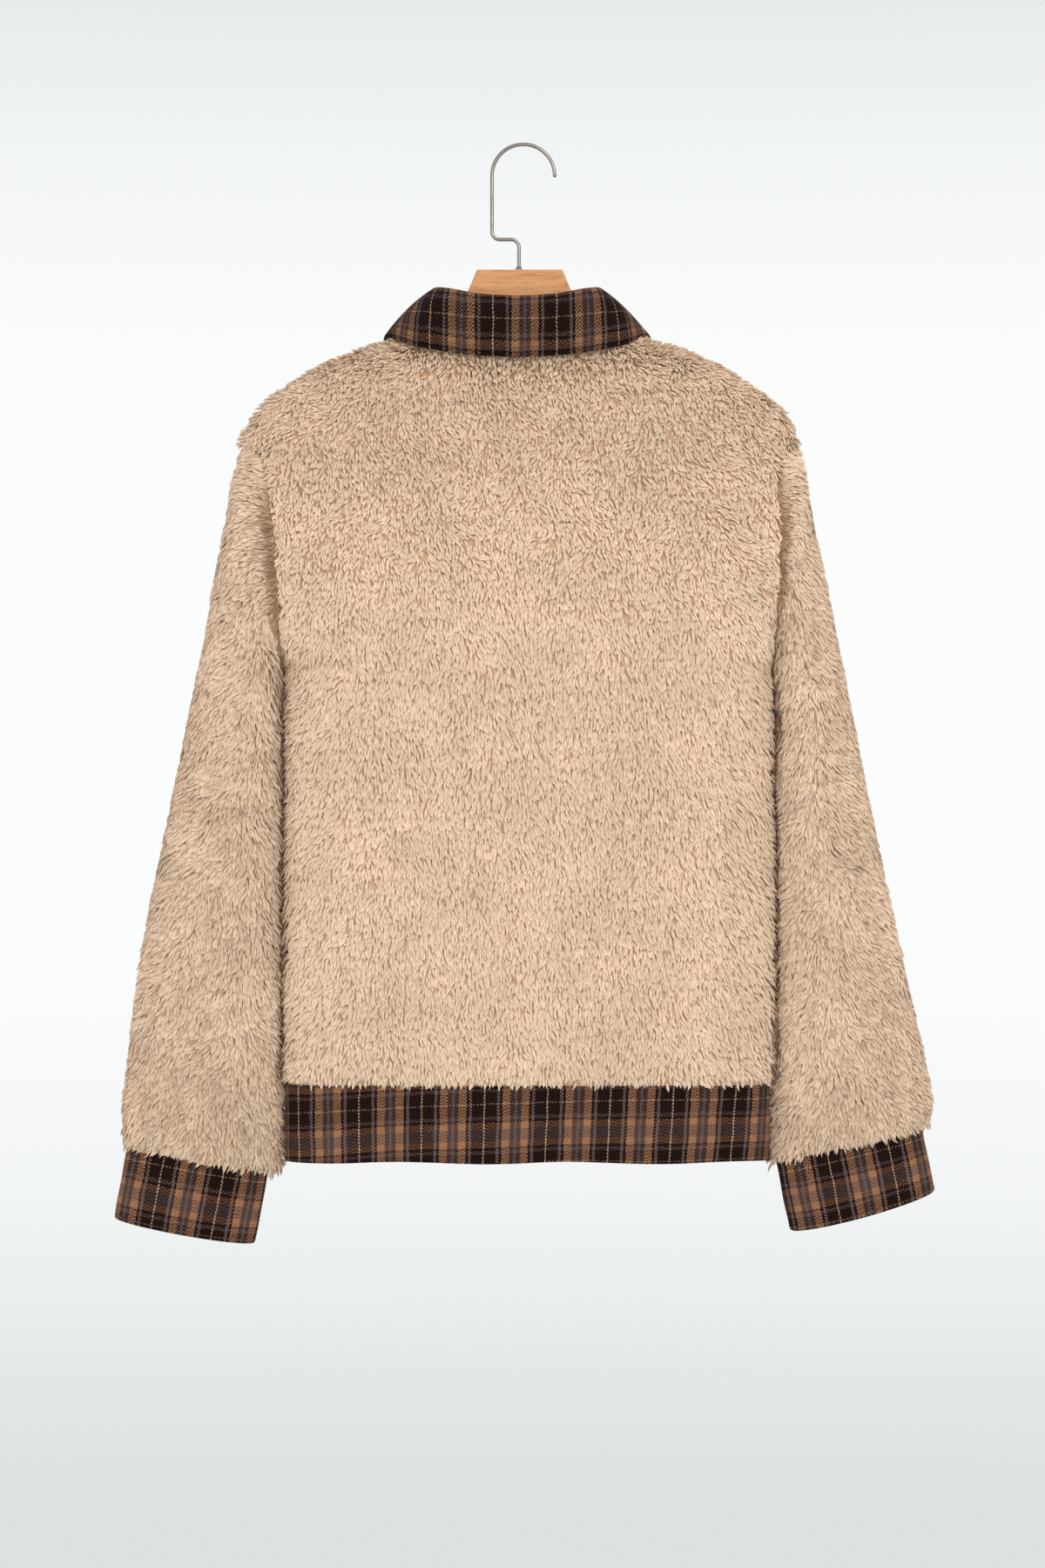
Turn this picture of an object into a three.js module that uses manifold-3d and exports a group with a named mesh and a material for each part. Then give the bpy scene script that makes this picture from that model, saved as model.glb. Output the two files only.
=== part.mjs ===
// A beige fleece pullover with a woven polo collar, hem band and cuffs, hung on a beech hanger.
//
// Millimetres, +Z up. The origin is the inside top of the wire hook, where it rests on a rail.
// The garment's back faces -Y and its front faces +Y, so the wearer's left is on -X.
//
// Every cloth piece is a closed wall between an outer and an inner skin. Both skins come from the
// same function, called once with no inset and once with the cloth's thickness as the inset.

import * as THREE from 'three';
import { mergeVertices } from 'three/addons/utils/BufferGeometryUtils.js';
import Module from 'manifold-3d';

// ---------------------------------------------------------------- driving dimensions

const SEAM = 0.3;                 // gap between sewn pieces
const FLEECE = 6;                 // backing and standing pile
const TRIM = 2.4;                 // hem band and cuffs, folded double
const COLLAR_PLY = 1.5;           // one layer of collar cloth

const ARM_STEPS = 10;             // rows from the shoulder line to the underarm
const NECK_STEPS = 5;             // columns from the centre to the neck point
const SHOULDER_STEPS = 9;         // columns from the neck point to the shoulder tip

const Z_UNDERARM = -428;
const Z_HEM_SEAM = -777;
const Z_HEM_EDGE = -838;
const HEM_RIPPLE = 0.9;           // how far the band's lower edge waves

const NECK_HALF = 72;             // neck point, from the centre line
const NECK_BACK = { depth: 26, middleZ: -154, sideZ: -139, bend: 2 };
const NECK_FRONT = { depth: 34, middleZ: -262, sideZ: -139, bend: 1.15 };
const RIDGE = 38;                 // how far below the shoulder seam the cloth is full depth
const SIDE_POWER = 6;             // flatness of the body's cross-section
const TUBE_POWER = 0.85;          // flatness of the sleeve's cross-section

// The shoulder seam, out from the centre line.
const SHOULDER = table(['out', 'z'], [
  [72, -139],
  [90, -156],
  [106, -165],
  [125, -169],
  [145, -174.5],
  [167, -184],
  [190, -198.5],
  [208, -212],
  [219, -226],
  [226.5, -243],
]);

// The body, by the height of its side edge. middle is the shift of its centre line, half its
// half-width, back and front its depths, arm the depth of the armhole's rim.
const BODY = table(['z', 'middle', 'half', 'back', 'front'], [
  [-777, 3.2, 200.8, 25, 27],
  [-768, 4.2, 202.4, 27.5, 29.5],
  [-745, 4.6, 202.8, 28, 30],
  [-600, 4.9, 202.8, 27.5, 30],
  [-428, 5, 202.5, 27, 30],
  [-360, 4, 204.5, 26.5, 29],
  [-315, 2.7, 206.6, 26, 28],
  [-275, 0.5, 209, 25.5, 27.5],
  [-256, -1, 212, 25, 27],
  [-248, -2, 219, 24.5, 26.5],
  [-243, -3, 226.5, 24, 26],
]);
const ARMHOLE_DEPTH = { back: 23, front: 25 };
const LOWER_ROWS = [-480, -560, -650, -725, -762, Z_HEM_SEAM];

// Large soft troughs in the panels: centre, upper end, lower end, half-width and depth.
const FOLDS = {
  back: table(['x', 'top', 'bottom', 'spread', 'depth'], [
    [186, -215, -420, 26, 3.2],
    [-168, -195, -330, 34, 2.6],
    [96, -470, -760, 26, 2.2],
    [-104, -560, -770, 24, 1.8],
    [8, -300, -520, 30, 1.6],
    [-28, -600, -772, 20, 1.4],
  ]),
  front: table(['x', 'top', 'bottom', 'spread', 'depth'], [
    [-182, -220, -410, 28, 3],
    [160, -205, -350, 30, 2.4],
    [-88, -440, -750, 28, 2.2],
    [70, -520, -768, 24, 1.9],
    [124, -600, -770, 20, 1.5],
  ]),
};

// Sleeve sections: the section runs from its inner end, beside the body, to its outer end.
// All are distances out from x = 0, and back is how far its middle lies towards the front.
const SLEEVE_COLUMNS = ['inX', 'inZ', 'outX', 'outZ', 'depth', 'shift'];
const SLEEVES = {
  left: table(SLEEVE_COLUMNS, [
    [201.2, -434, 235.6, -264, 27, 0.5],
    [201.8, -442, 245, -310, 29, 1],
    [202, -453, 254, -355, 30.5, 2],
    [201.6, -471, 262, -401, 31, 3],
    [200.8, -498, 272, -447, 31, 4],
    [200.6, -545, 284.5, -508, 30, 5],
    [200.6, -600, 297, -568, 29, 6],
    [200.6, -660, 310, -632, 27.5, 6.5],
    [200.6, -715, 320, -694, 26, 7],
    [200.6, -765, 327.5, -750, 24.5, 7.5],
    [200.6, -806, 332, -794, 23, 8],
    [201.6, -836, 332, -818.5, 21.5, 8],
  ]),
  right: table(SLEEVE_COLUMNS, [
    [209.4, -434, 229.5, -264, 27, 0.5],
    [210.4, -442, 238, -310, 29, 1],
    [210.8, -453, 248, -355, 30.5, 2],
    [210.8, -471, 257.5, -401, 31, 3],
    [210.6, -498, 267.5, -447, 31, 4],
    [210.6, -545, 279.5, -508, 30, 5],
    [210.6, -600, 292, -568, 29, 6],
    [210.6, -660, 305, -630, 27.5, 6.5],
    [210.4, -715, 318, -690, 26, 7],
    [209.4, -765, 330.5, -744, 24.5, 7.5],
    [206.4, -804, 338.5, -785, 23, 8],
    [205.6, -828, 337, -804.5, 21.5, 8],
  ]),
};

// Cuffs: sections from the upper to the lower edge. belly is how far the back's middle hangs lower.
const CUFF_COLUMNS = [...SLEEVE_COLUMNS, 'belly'];
const CUFFS = {
  left: table(CUFF_COLUMNS, [
    [211.6, -851, 328.4, -830, 16.5, 8, 0],
    [217, -879, 334, -858, 18, 8, 1],
    [222.6, -907, 339, -886, 18.5, 8, 2.6],
  ]),
  right: table(CUFF_COLUMNS, [
    [210, -842.4, 331, -813.6, 16.5, 8, 0],
    [215, -869.5, 336.4, -838.5, 18, 8, 1.5],
    [220.4, -896.4, 340.4, -863, 18.5, 8, 4.5],
  ]),
};
const SLEEVE_OVER_CUFF = 1.6;     // how much wider the gathered fleece ends than its cuff

// Collar, from the centre back (0) by the neck point (0.5) to the centre front (1). The roll line
// is its top, and the edge is the leaf's free edge. roundOut and roundDown place the bend between.
const COLLAR_MIDDLE = -5;
const COLLAR = table(
  ['along', 'rollX', 'rollY', 'rollZ', 'edgeX', 'edgeY', 'edgeZ', 'roundOut', 'roundDown'], [
    [0.0, 0, -25, -126.6, 0, -36, -174, 0.9, 0.12],
    [0.2, 31, -23.5, -124.6, 43, -36, -171.5, 0.85, 0.14],
    [0.36, 57, -15, -119, 84, -32, -164.5, 0.7, 0.2],
    [0.5, 69.5, 0, -117.4, 109.5, 0, -156, 0.54, 0.36],
    [0.64, 67, 16, -125, 107, 33.5, -180.5, 0.6, 0.24],
    [0.8, 47, 30, -165, 88, 40, -230, 0.6, 0.2],
    [1.0, 3.5, 38.5, -250, 47, 43, -284, 0.5, 0.3],
  ]);
const LEAF_STEPS = 6;
const UNDER_EDGE_SHOWS = 2.4;     // how far the under collar reaches below the leaf
const STAND_STEPS = 3;
const STAND_CLEAR = { down: 1, inward: 4 };  // from the roll line to the stand's top edge
const STAND_FOOT_INWARD = 1;      // from the panels' neck edge to the stand's lower edge
const FRONT_APART = 1;            // half the gap between the collar's two front ends

const HANGER = {
  thickness: 12,
  edgeRadius: 2,
  middle: -3,
  topZ: -102.2,
  underCloth: 10.6,               // from the shoulder seam's outside to the wood
  tipOut: 208,
  tipHeight: 22,
};
const HANGER_NECK = table(['out', 'z'], [
  [35.2, HANGER.topZ],
  [42, -118.5],
  [48, -130.5],
  [60, -141.5],
]);
const HANGER_UNDERSIDE = table(['out', 'z'], [
  [120, -201],
  [60, -176],
  [20, -171],
]);
const WIRE = { radius: 1.7, stemX: -3.6, jogZ: -77, jogRadius: 6.5, loopRadius: 25.9 };
const FERRULE = { radius: 3.7, height: 2.3 };
const STEM_DEPTH = 16;            // how far the stem is screwed into the wood

// ---------------------------------------------------------------- materials

const material = (color, roughness, metalness = 0) =>
  new THREE.MeshStandardMaterial({ color, roughness, metalness });
const fleece = material(0xdcc0a0, 1.0);
const plaid = material(0x4a3530, 0.9);
const beech = material(0xcf9b68, 0.55);
const steel = material(0xa8a49c, 0.35, 1.0);

// ---------------------------------------------------------------- numbers and tables

/** Turns rows of numbers into a list of objects with named columns. */
function table(columns, rows) {
  return rows.map((row) => Object.fromEntries(columns.map((name, i) => [name, row[i]])));
}

const mix = (a, b, t) => a + (b - a) * t;
const clamp01 = (value) => Math.min(1, Math.max(0, value));

/** One column of a table at a place along another, joined by a smooth cubic through the rows. */
function look(rows, key, column, at) {
  const rising = rows[0][key] < rows[rows.length - 1][key];
  const list = rising ? rows : [...rows].reverse();
  const place = Math.min(Math.max(at, list[0][key]), list[list.length - 1][key]);
  const last = list.length - 2;
  const k = Math.min(last, Math.max(0, list.findIndex((row) => row[key] > place) - 1));
  const i = place >= list[last + 1][key] ? last : k;
  const slope = (n) => {
    const a = list[Math.max(n - 1, 0)];
    const b = list[Math.min(n + 1, list.length - 1)];
    return (b[column] - a[column]) / (b[key] - a[key]);
  };
  const span = list[i + 1][key] - list[i][key];
  const t = (place - list[i][key]) / span;
  const ease = t * t * (3 - 2 * t);
  const tangents = span * (slope(i) * t * (1 - t) ** 2 - slope(i + 1) * t * t * (1 - t));
  return mix(list[i][column], list[i + 1][column], ease) + tangents;
}

// ---------------------------------------------------------------- meshes

/** A closed mesh from points and triangles, turned so that its faces point out. */
function closedGeometry(points, triangles) {
  const volume = triangles.reduce((sum, [a, b, c]) => {
    const normal = new THREE.Vector3().crossVectors(points[b], points[c]);
    return sum + points[a].dot(normal);
  }, 0);
  const faces = volume < 0 ? triangles.map(([a, b, c]) => [a, c, b]) : triangles;
  const geometry = new THREE.BufferGeometry();
  geometry.setAttribute('position',
    new THREE.Float32BufferAttribute(points.flatMap((p) => [p.x, p.y, p.z]), 3));
  geometry.setIndex(faces.flat());
  geometry.computeVertexNormals();
  return geometry;
}

/** A wall between two grids of points. around joins the last column to the first, as on a tube. */
function wall(outer, inner, around) {
  const rows = outer.length;
  const columns = outer[0].length;
  const points = [...outer.flat(), ...inner.flat()];
  const at = (skin, i, j) => skin * rows * columns + i * columns + (j % columns);
  const triangles = [];
  const quad = (a, b, c, d) => triangles.push([a, b, c], [a, c, d]);
  const lastColumn = around ? columns : columns - 1;
  for (let i = 0; i < rows - 1; i += 1) {
    for (let j = 0; j < lastColumn; j += 1) {
      quad(at(0, i, j), at(0, i, j + 1), at(0, i + 1, j + 1), at(0, i + 1, j));
      quad(at(1, i, j), at(1, i + 1, j), at(1, i + 1, j + 1), at(1, i, j + 1));
    }
  }
  for (let j = 0; j < lastColumn; j += 1) {
    quad(at(0, 0, j), at(1, 0, j), at(1, 0, j + 1), at(0, 0, j + 1));
    const end = rows - 1;
    quad(at(0, end, j), at(0, end, j + 1), at(1, end, j + 1), at(1, end, j));
  }
  for (let i = 0; i < rows - 1 && !around; i += 1) {
    const end = columns - 1;
    quad(at(0, i, 0), at(0, i + 1, 0), at(1, i + 1, 0), at(1, i, 0));
    quad(at(0, i, end), at(1, i, end), at(1, i + 1, end), at(0, i + 1, end));
  }
  return closedGeometry(points, triangles);
}

function mesh(name, geometry, look3d) {
  const piece = new THREE.Mesh(geometry, look3d);
  piece.name = name;
  return piece;
}

// ---------------------------------------------------------------- front and back panels

const NECK_SHARE = NECK_HALF / SHOULDER[SHOULDER.length - 1].out;

/** Columns across a panel, -1 at the left edge to 1 at the right, close together at the edges. */
function panelColumns() {
  const half = [];
  for (let k = 0; k <= NECK_STEPS; k += 1) {
    half.push(NECK_SHARE * Math.sin(0.5 * Math.PI * k / NECK_STEPS));
  }
  for (let k = 1; k <= SHOULDER_STEPS; k += 1) {
    half.push(mix(NECK_SHARE, 1, Math.sin(0.5 * Math.PI * k / SHOULDER_STEPS)));
  }
  return [...half.slice(1).reverse().map((s) => -s), ...half];
}

const COLUMNS = panelColumns();
const ROWS = ARM_STEPS + 1 + LOWER_ROWS.length;
const armAngle = (row) => Math.PI * Math.min(row, ARM_STEPS) / ARM_STEPS;

/** Height of the panel's upper outline, neckline or shoulder seam, and the neckline's depth. */
function upperEdge(face, share) {
  const out = Math.abs(share) * SHOULDER[SHOULDER.length - 1].out;
  if (out >= NECK_HALF - 1e-6) {
    return { z: look(SHOULDER, 'out', 'z', out), depth: 0 };
  }
  const neck = face === 'back' ? NECK_BACK : NECK_FRONT;
  const t = out / NECK_HALF;
  return {
    z: mix(neck.middleZ, neck.sideZ, t ** neck.bend),
    depth: neck.depth * Math.sqrt(1 - t * t),
  };
}

/** Height of a row of the panel: along the upper outline at first, level below the underarm. */
function rowHeight(top, row) {
  if (row > ARM_STEPS) {
    return LOWER_ROWS[row - ARM_STEPS - 1];
  }
  return mix(top, Z_UNDERARM, 0.5 - 0.5 * Math.cos(armAngle(row)));
}

/** How deep the soft troughs are at one place on a panel. */
function foldDepth(face, x, z) {
  return FOLDS[face].reduce((sum, fold) => {
    const along = clamp01((fold.top - z) / (fold.top - fold.bottom));
    const across = (x - fold.x) / fold.spread;
    return sum + fold.depth * Math.sin(Math.PI * along) * Math.exp(-across * across);
  }, 0);
}

/** One point of the back or front panel, at a column and a row, inset from the outer skin. */
function panelPoint(face, share, row, inset) {
  const neck = face === 'back' ? NECK_BACK : NECK_FRONT;
  const edgeZ = rowHeight(SHOULDER[SHOULDER.length - 1].z, row);
  const top = upperEdge(face, share);
  const z = rowHeight(top.z, row);
  const deepest = look(BODY, 'z', face, edgeZ);
  const drop = clamp01((top.z - z) / RIDGE);
  const ridge = Math.sqrt(1 - (1 - drop) ** 2);
  const flat = Math.sqrt(Math.max(0, 1 - Math.abs(share) ** SIDE_POWER));
  const rim = ARMHOLE_DEPTH[face] * Math.sin(armAngle(row)) ** TUBE_POWER;
  const sideShift = inset * clamp01((row - ARM_STEPS + 2) / 2);
  const x = look(BODY, 'z', 'middle', edgeZ)
    + share * (look(BODY, 'z', 'half', edgeZ) - sideShift);
  const full = mix(rim, mix(top.depth, deepest, ridge), flat);
  const depth = full * (1 - inset / deepest) - ridge * flat * foldDepth(face, x, z);
  const seamShare = 1 - top.depth / neck.depth;
  const edgeShare = Math.abs(share) ** 12;
  const upShift = row > ARM_STEPS ? 0 : mix((1 - ridge) * seamShare, Math.cos(armAngle(row)), edgeShare);
  const side = face === 'back' ? -1 : 1;
  return new THREE.Vector3(x, side * (depth + SEAM / 2), z - inset * upShift);
}

function panelGrid(face, inset) {
  return Array.from({ length: ROWS }, (_, row) =>
    COLUMNS.map((share) => panelPoint(face, share, row, inset)));
}

const panel = (face) => mesh(face, wall(panelGrid(face, 0), panelGrid(face, FLEECE), false), fleece);

// ---------------------------------------------------------------- sleeves and cuffs

const AROUND = 2 * ARM_STEPS;
const sideOf = (name) => (name === 'left' ? -1 : 1);

/** The sleeve's first ring lies along the armhole, a seam's gap outside the panels' edges. */
function armholeRing(name, inset) {
  const side = sideOf(name);
  return Array.from({ length: AROUND }, (_, m) => {
    const face = m <= ARM_STEPS ? 'back' : 'front';
    const row = m <= ARM_STEPS ? m : AROUND - m;
    const p = panelPoint(face, side, row, 0);
    const rim = panelPoint(face, side, row, inset);
    const onSeam = row === 0 || row === ARM_STEPS;
    const overTop = Math.max(0, Math.cos(armAngle(row)));
    const x = p.x + side * SEAM * (1 + overTop);
    return new THREE.Vector3(x, onSeam ? 0 : rim.y, rim.z - SEAM * overTop);
  });
}

/** One flattened ring across the sleeve: its first point is the outer end, then round the back. */
function sectionRing(name, section, inset, grow = 0) {
  const side = sideOf(name);
  const inner = new THREE.Vector3(side * section.inX, section.shift, section.inZ);
  const outer = new THREE.Vector3(side * section.outX, section.shift, section.outZ);
  const half = outer.distanceTo(inner) / 2 + grow - inset;
  const deep = section.depth + grow - inset;
  const way = outer.clone().sub(inner).normalize();
  const middle = inner.add(outer).multiplyScalar(0.5);
  const down = new THREE.Vector3(way.z, 0, -way.x).multiplyScalar(side);
  const belly = section.belly ?? 0;
  return Array.from({ length: AROUND }, (_, m) => {
    const angle = 2 * Math.PI * m / AROUND;
    const bend = Math.sin(angle);
    const y = -Math.sign(bend) * deep * Math.abs(bend) ** TUBE_POWER;
    return new THREE.Vector3(0, y, 0)
      .add(middle)
      .addScaledVector(way, half * Math.cos(angle))
      .addScaledVector(down, belly * Math.max(0, bend));
  });
}

/** The cuff's upper section, moved up its own axis by the seam's gap. */
function sleeveEnd(name) {
  const top = CUFFS[name][0];
  const length = Math.hypot(top.outX - top.inX, top.outZ - top.inZ);
  const upX = -(top.outZ - top.inZ) / length * SEAM;
  const upZ = (top.outX - top.inX) / length * SEAM;
  return {
    ...top,
    inX: top.inX + upX,
    outX: top.outX + upX,
    inZ: top.inZ + upZ,
    outZ: top.outZ + upZ,
  };
}

function sleeve(name) {
  const rings = (inset) => [
    armholeRing(name, inset),
    ...SLEEVES[name].map((section) => sectionRing(name, section, inset)),
    sectionRing(name, sleeveEnd(name), inset, SLEEVE_OVER_CUFF),
  ];
  return mesh(`sleeve_${name}`, wall(rings(0), rings(FLEECE), true), fleece);
}

function cuff(name) {
  const rings = (inset) => CUFFS[name].map((section) => sectionRing(name, section, inset));
  return mesh(`cuff_${name}`, wall(rings(0), rings(TRIM), true), plaid);
}

// ---------------------------------------------------------------- hem band

/** A level ring of the band: the panels' lowest columns, seen from below, drawn in a little. */
function bandRing(z, drawIn, inset) {
  const body = BODY[0];
  const half = body.half - drawIn - inset;
  const shares = [...COLUMNS, ...COLUMNS.slice(1, -1).reverse()];
  return shares.map((share, k) => {
    const front = k >= COLUMNS.length;
    const depth = (front ? body.front : body.back) - drawIn - inset;
    const y = (front ? 1 : -1) * depth * Math.sqrt(Math.max(0, 1 - Math.abs(share) ** SIDE_POWER));
    const ripple = z === Z_HEM_EDGE ? HEM_RIPPLE * Math.sin(9 * share + (front ? 2 : 0)) : 0;
    return new THREE.Vector3(body.middle + share * half, y, z + ripple);
  });
}

function hemBand() {
  const levels = table(['z', 'drawIn'], [
    [Z_HEM_SEAM - SEAM, 1.2],
    [mix(Z_HEM_SEAM, Z_HEM_EDGE, 0.5), 0.2],
    [Z_HEM_EDGE, 0.4],
  ]);
  const rings = (inset) => levels.map((level) => bandRing(level.z, level.drawIn, inset));
  return mesh('hem_band', wall(rings(0), rings(TRIM), true), plaid);
}

// ---------------------------------------------------------------- collar

/** Stations round the collar, from -1 and 1 at the centre front to 0 at the centre back. */
function collarStations() {
  const back = Array.from({ length: NECK_STEPS + 1 }, (_, k) => 0.5 * k / NECK_STEPS);
  const front = back.slice(1).map((along) => along + 0.5);
  const half = [...back, ...front];
  return [...half.slice(1).reverse().map((along) => -along), ...half];
}

/** A named point of the collar's table, at a station, on its own side of the centre line. */
function collarPoint(part, station) {
  const along = Math.abs(station);
  const side = station < 0 ? -1 : 1;
  const value = (axis) => look(COLLAR, 'along', part + axis, along);
  return new THREE.Vector3(COLLAR_MIDDLE + side * value('X'), value('Y'), value('Z'));
}

/** The neck seam at a station, taken from the panels' own upper points. */
function neckPoint(station) {
  const along = Math.abs(station);
  const side = station < 0 ? -1 : 1;
  const face = along <= 0.5 ? 'back' : 'front';
  const step = along <= 0.5 ? 2 * along : 2 - 2 * along;
  const share = side * NECK_SHARE * Math.sin(0.5 * Math.PI * step);
  const point = panelPoint(face, share, 0, 0);
  if (along === 1) {
    point.x += side * FRONT_APART;
    point.z += 2 * FRONT_APART;
  }
  return point;
}

/** A point of the leaf's outer skin: down is 0 on the roll line and 1 on the free edge. */
function leafPoint(station, down) {
  const roll = collarPoint('roll', station);
  const edge = collarPoint('edge', station);
  const along = Math.abs(station);
  const bend = new THREE.Vector3(
    mix(roll.x, edge.x, look(COLLAR, 'along', 'roundOut', along)),
    mix(roll.y, edge.y, look(COLLAR, 'along', 'roundOut', along)),
    mix(roll.z, edge.z, look(COLLAR, 'along', 'roundDown', along)),
  );
  const rest = 1 - down;
  return roll.multiplyScalar(rest * rest)
    .addScaledVector(bend, 2 * rest * down)
    .addScaledVector(edge, down * down);
}

/** The leaf's skin sunk below its outer face, along the face's own normal. */
function leafSkin(sink, reach) {
  const small = 0.01;
  const steps = Array.from({ length: LEAF_STEPS + 1 }, (_, k) => k / LEAF_STEPS);
  return collarStations().map((station) => {
    const length = collarPoint('roll', station).distanceTo(collarPoint('edge', station));
    return [...steps, 1 + Math.max(reach, small) / length].map((down) => {
      const p = leafPoint(station, down);
      const acrossWay = leafPoint(station, down + small).sub(leafPoint(station, down - small));
      const first = Math.max(-1, station - small);
      const second = Math.min(1, station + small);
      const alongWay = leafPoint(second, down).sub(leafPoint(first, down));
      const normal = new THREE.Vector3().crossVectors(acrossWay, alongWay).normalize();
      return p.addScaledVector(normal, -sink);
    });
  });
}

function collarLeaf() {
  return mesh('collar_leaf', wall(leafSkin(0, 0), leafSkin(COLLAR_PLY, 0), false), plaid);
}

function collarUnder() {
  const outer = leafSkin(COLLAR_PLY + SEAM, UNDER_EDGE_SHOWS);
  const inner = leafSkin(2 * COLLAR_PLY + SEAM, UNDER_EDGE_SHOWS);
  return mesh('collar_under', wall(outer, inner, false), plaid);
}

/** The stand rises from the neck seam to just below the roll line. */
function collarStand() {
  const skin = (inset) => collarStations().map((station) => {
    const foot = neckPoint(station);
    const top = collarPoint('roll', station);
    const outward = new THREE.Vector3(foot.x - COLLAR_MIDDLE, foot.y * 3, 0).normalize();
    foot.addScaledVector(outward, -STAND_FOOT_INWARD - inset);
    foot.z += 2 * SEAM;
    top.addScaledVector(outward, -STAND_CLEAR.inward - inset);
    top.z -= STAND_CLEAR.down;
    return Array.from({ length: STAND_STEPS + 1 }, (_, k) => foot.clone().lerp(top, k / STAND_STEPS));
  });
  return mesh('collar_stand', wall(skin(0), skin(COLLAR_PLY), false), plaid);
}

// ---------------------------------------------------------------- hanger

/** A triangle mesh as a solid that can be cut. */
function solid(wasm, geometry) {
  const bare = new THREE.BufferGeometry();
  bare.setAttribute('position', geometry.getAttribute('position'));
  if (geometry.index) {
    bare.setIndex(geometry.index);
  }
  const merged = mergeVertices(bare, 1e-3);
  return new wasm.Manifold(new wasm.Mesh({
    numProp: 3,
    vertProperties: new Float32Array(merged.getAttribute('position').array),
    triVerts: new Uint32Array(merged.index.array),
  }));
}

/** The beech bar: a flat outline with rounded edges, and a blind hole for the hook's stem. */
async function hangerWood() {
  const h = HANGER;
  const underCloth = (out) => look(SHOULDER, 'out', 'z', out) - h.underCloth;
  const arm = COLUMNS.map((share) => share * SHOULDER[SHOULDER.length - 1].out)
    .filter((out) => out > NECK_HALF + SEAM && out < h.tipOut - 4)
    .map((out) => ({ out, z: underCloth(out) }));
  const tipZ = underCloth(h.tipOut);
  const tip = table(['out', 'z'], [
    [h.tipOut, tipZ - 4],
    [h.tipOut + 2, tipZ - h.tipHeight / 2],
    [h.tipOut - 3, tipZ - h.tipHeight],
    [h.tipOut - 12, tipZ - h.tipHeight],
  ]);
  const right = [...HANGER_NECK, ...arm, ...tip, ...HANGER_UNDERSIDE];
  const left = [...right].reverse().map(({ out, z }) => ({ out: -out, z }));
  const inset = 2 * h.edgeRadius;
  const shape = new THREE.Shape(
    [...right, ...left].map(({ out, z }) => new THREE.Vector2(h.middle + out, z)),
  );
  const bar = new THREE.ExtrudeGeometry(shape, {
    depth: h.thickness - inset,
    bevelEnabled: true,
    bevelThickness: h.edgeRadius,
    bevelSize: h.edgeRadius,
    bevelOffset: -h.edgeRadius,
    bevelSegments: 2,
  });
  bar.rotateX(Math.PI / 2);
  bar.translate(0, h.thickness / 2 - h.edgeRadius, 0);
  const bore = new THREE.CylinderGeometry(WIRE.radius + SEAM, WIRE.radius + SEAM, 2 * STEM_DEPTH, 16);
  bore.rotateX(Math.PI / 2);
  bore.translate(WIRE.stemX, 0, h.topZ);
  const wasm = await Module();
  wasm.setup();
  const cut = solid(wasm, bar).subtract(solid(wasm, bore)).getMesh();
  const geometry = new THREE.BufferGeometry();
  geometry.setAttribute('position', new THREE.BufferAttribute(cut.vertProperties, 3));
  geometry.setIndex(new THREE.BufferAttribute(cut.triVerts, 1));
  geometry.computeVertexNormals();
  return mesh('hanger_wood', geometry, beech);
}

function hangerFerrule() {
  const inside = WIRE.radius + SEAM;
  const outline = [
    [inside, 0],
    [FERRULE.radius, 0],
    [FERRULE.radius, FERRULE.height * 0.6],
    [FERRULE.radius * 0.8, FERRULE.height],
    [inside, FERRULE.height],
    [inside, 0],
  ];
  const ring = new THREE.LatheGeometry(outline.map(([r, y]) => new THREE.Vector2(r, y)), 16);
  ring.rotateX(Math.PI / 2);
  ring.translate(WIRE.stemX, 0, HANGER.topZ + SEAM);
  return mesh('hanger_ferrule', ring, steel);
}

/** The hook's centre line: stem, sideways jog, long straight side and half a circle. */
function wireRoute() {
  const w = WIRE;
  const handle = 0.5523;
  const at = (x, z) => new THREE.Vector3(x, 0, z);
  const loopZ = w.radius - w.loopRadius;
  const leftX = -w.loopRadius;
  const route = new THREE.CurvePath();
  const line = (a, b) => route.add(new THREE.LineCurve3(a, b));
  const quarter = (from, corner, to) => route.add(new THREE.CubicBezierCurve3(
    from,
    from.clone().lerp(corner, handle),
    to.clone().lerp(corner, handle),
    to,
  ));
  const r = w.jogRadius;
  const foot = at(w.stemX, HANGER.topZ - STEM_DEPTH + 2);
  line(foot, at(w.stemX, w.jogZ - r));
  quarter(at(w.stemX, w.jogZ - r), at(w.stemX, w.jogZ), at(w.stemX - r, w.jogZ));
  line(at(w.stemX - r, w.jogZ), at(leftX + r, w.jogZ));
  quarter(at(leftX + r, w.jogZ), at(leftX, w.jogZ), at(leftX, w.jogZ + r));
  line(at(leftX, w.jogZ + r), at(leftX, loopZ));
  quarter(at(leftX, loopZ), at(leftX, w.radius), at(0, w.radius));
  quarter(at(0, w.radius), at(w.loopRadius, w.radius), at(w.loopRadius, loopZ));
  return route;
}

function hangerHook() {
  const section = new THREE.Shape();
  section.absarc(0, 0, WIRE.radius, 0, 2 * Math.PI, false);
  const geometry = new THREE.ExtrudeGeometry(section, {
    steps: 64,
    curveSegments: 5,
    extrudePath: wireRoute(),
    bevelEnabled: false,
  });
  return mesh('hanger_hook', geometry, steel);
}

// ---------------------------------------------------------------- the whole object

const garment = new THREE.Group();
garment.add(panel('back'), panel('front'));
garment.add(sleeve('left'), sleeve('right'));
garment.add(cuff('left'), cuff('right'));
garment.add(hemBand());
garment.add(collarLeaf(), collarUnder(), collarStand());

const hanger = new THREE.Group();
hanger.add(await hangerWood(), hangerFerrule(), hangerHook());

const model = new THREE.Group();
model.add(garment, hanger);

export default model;
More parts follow.
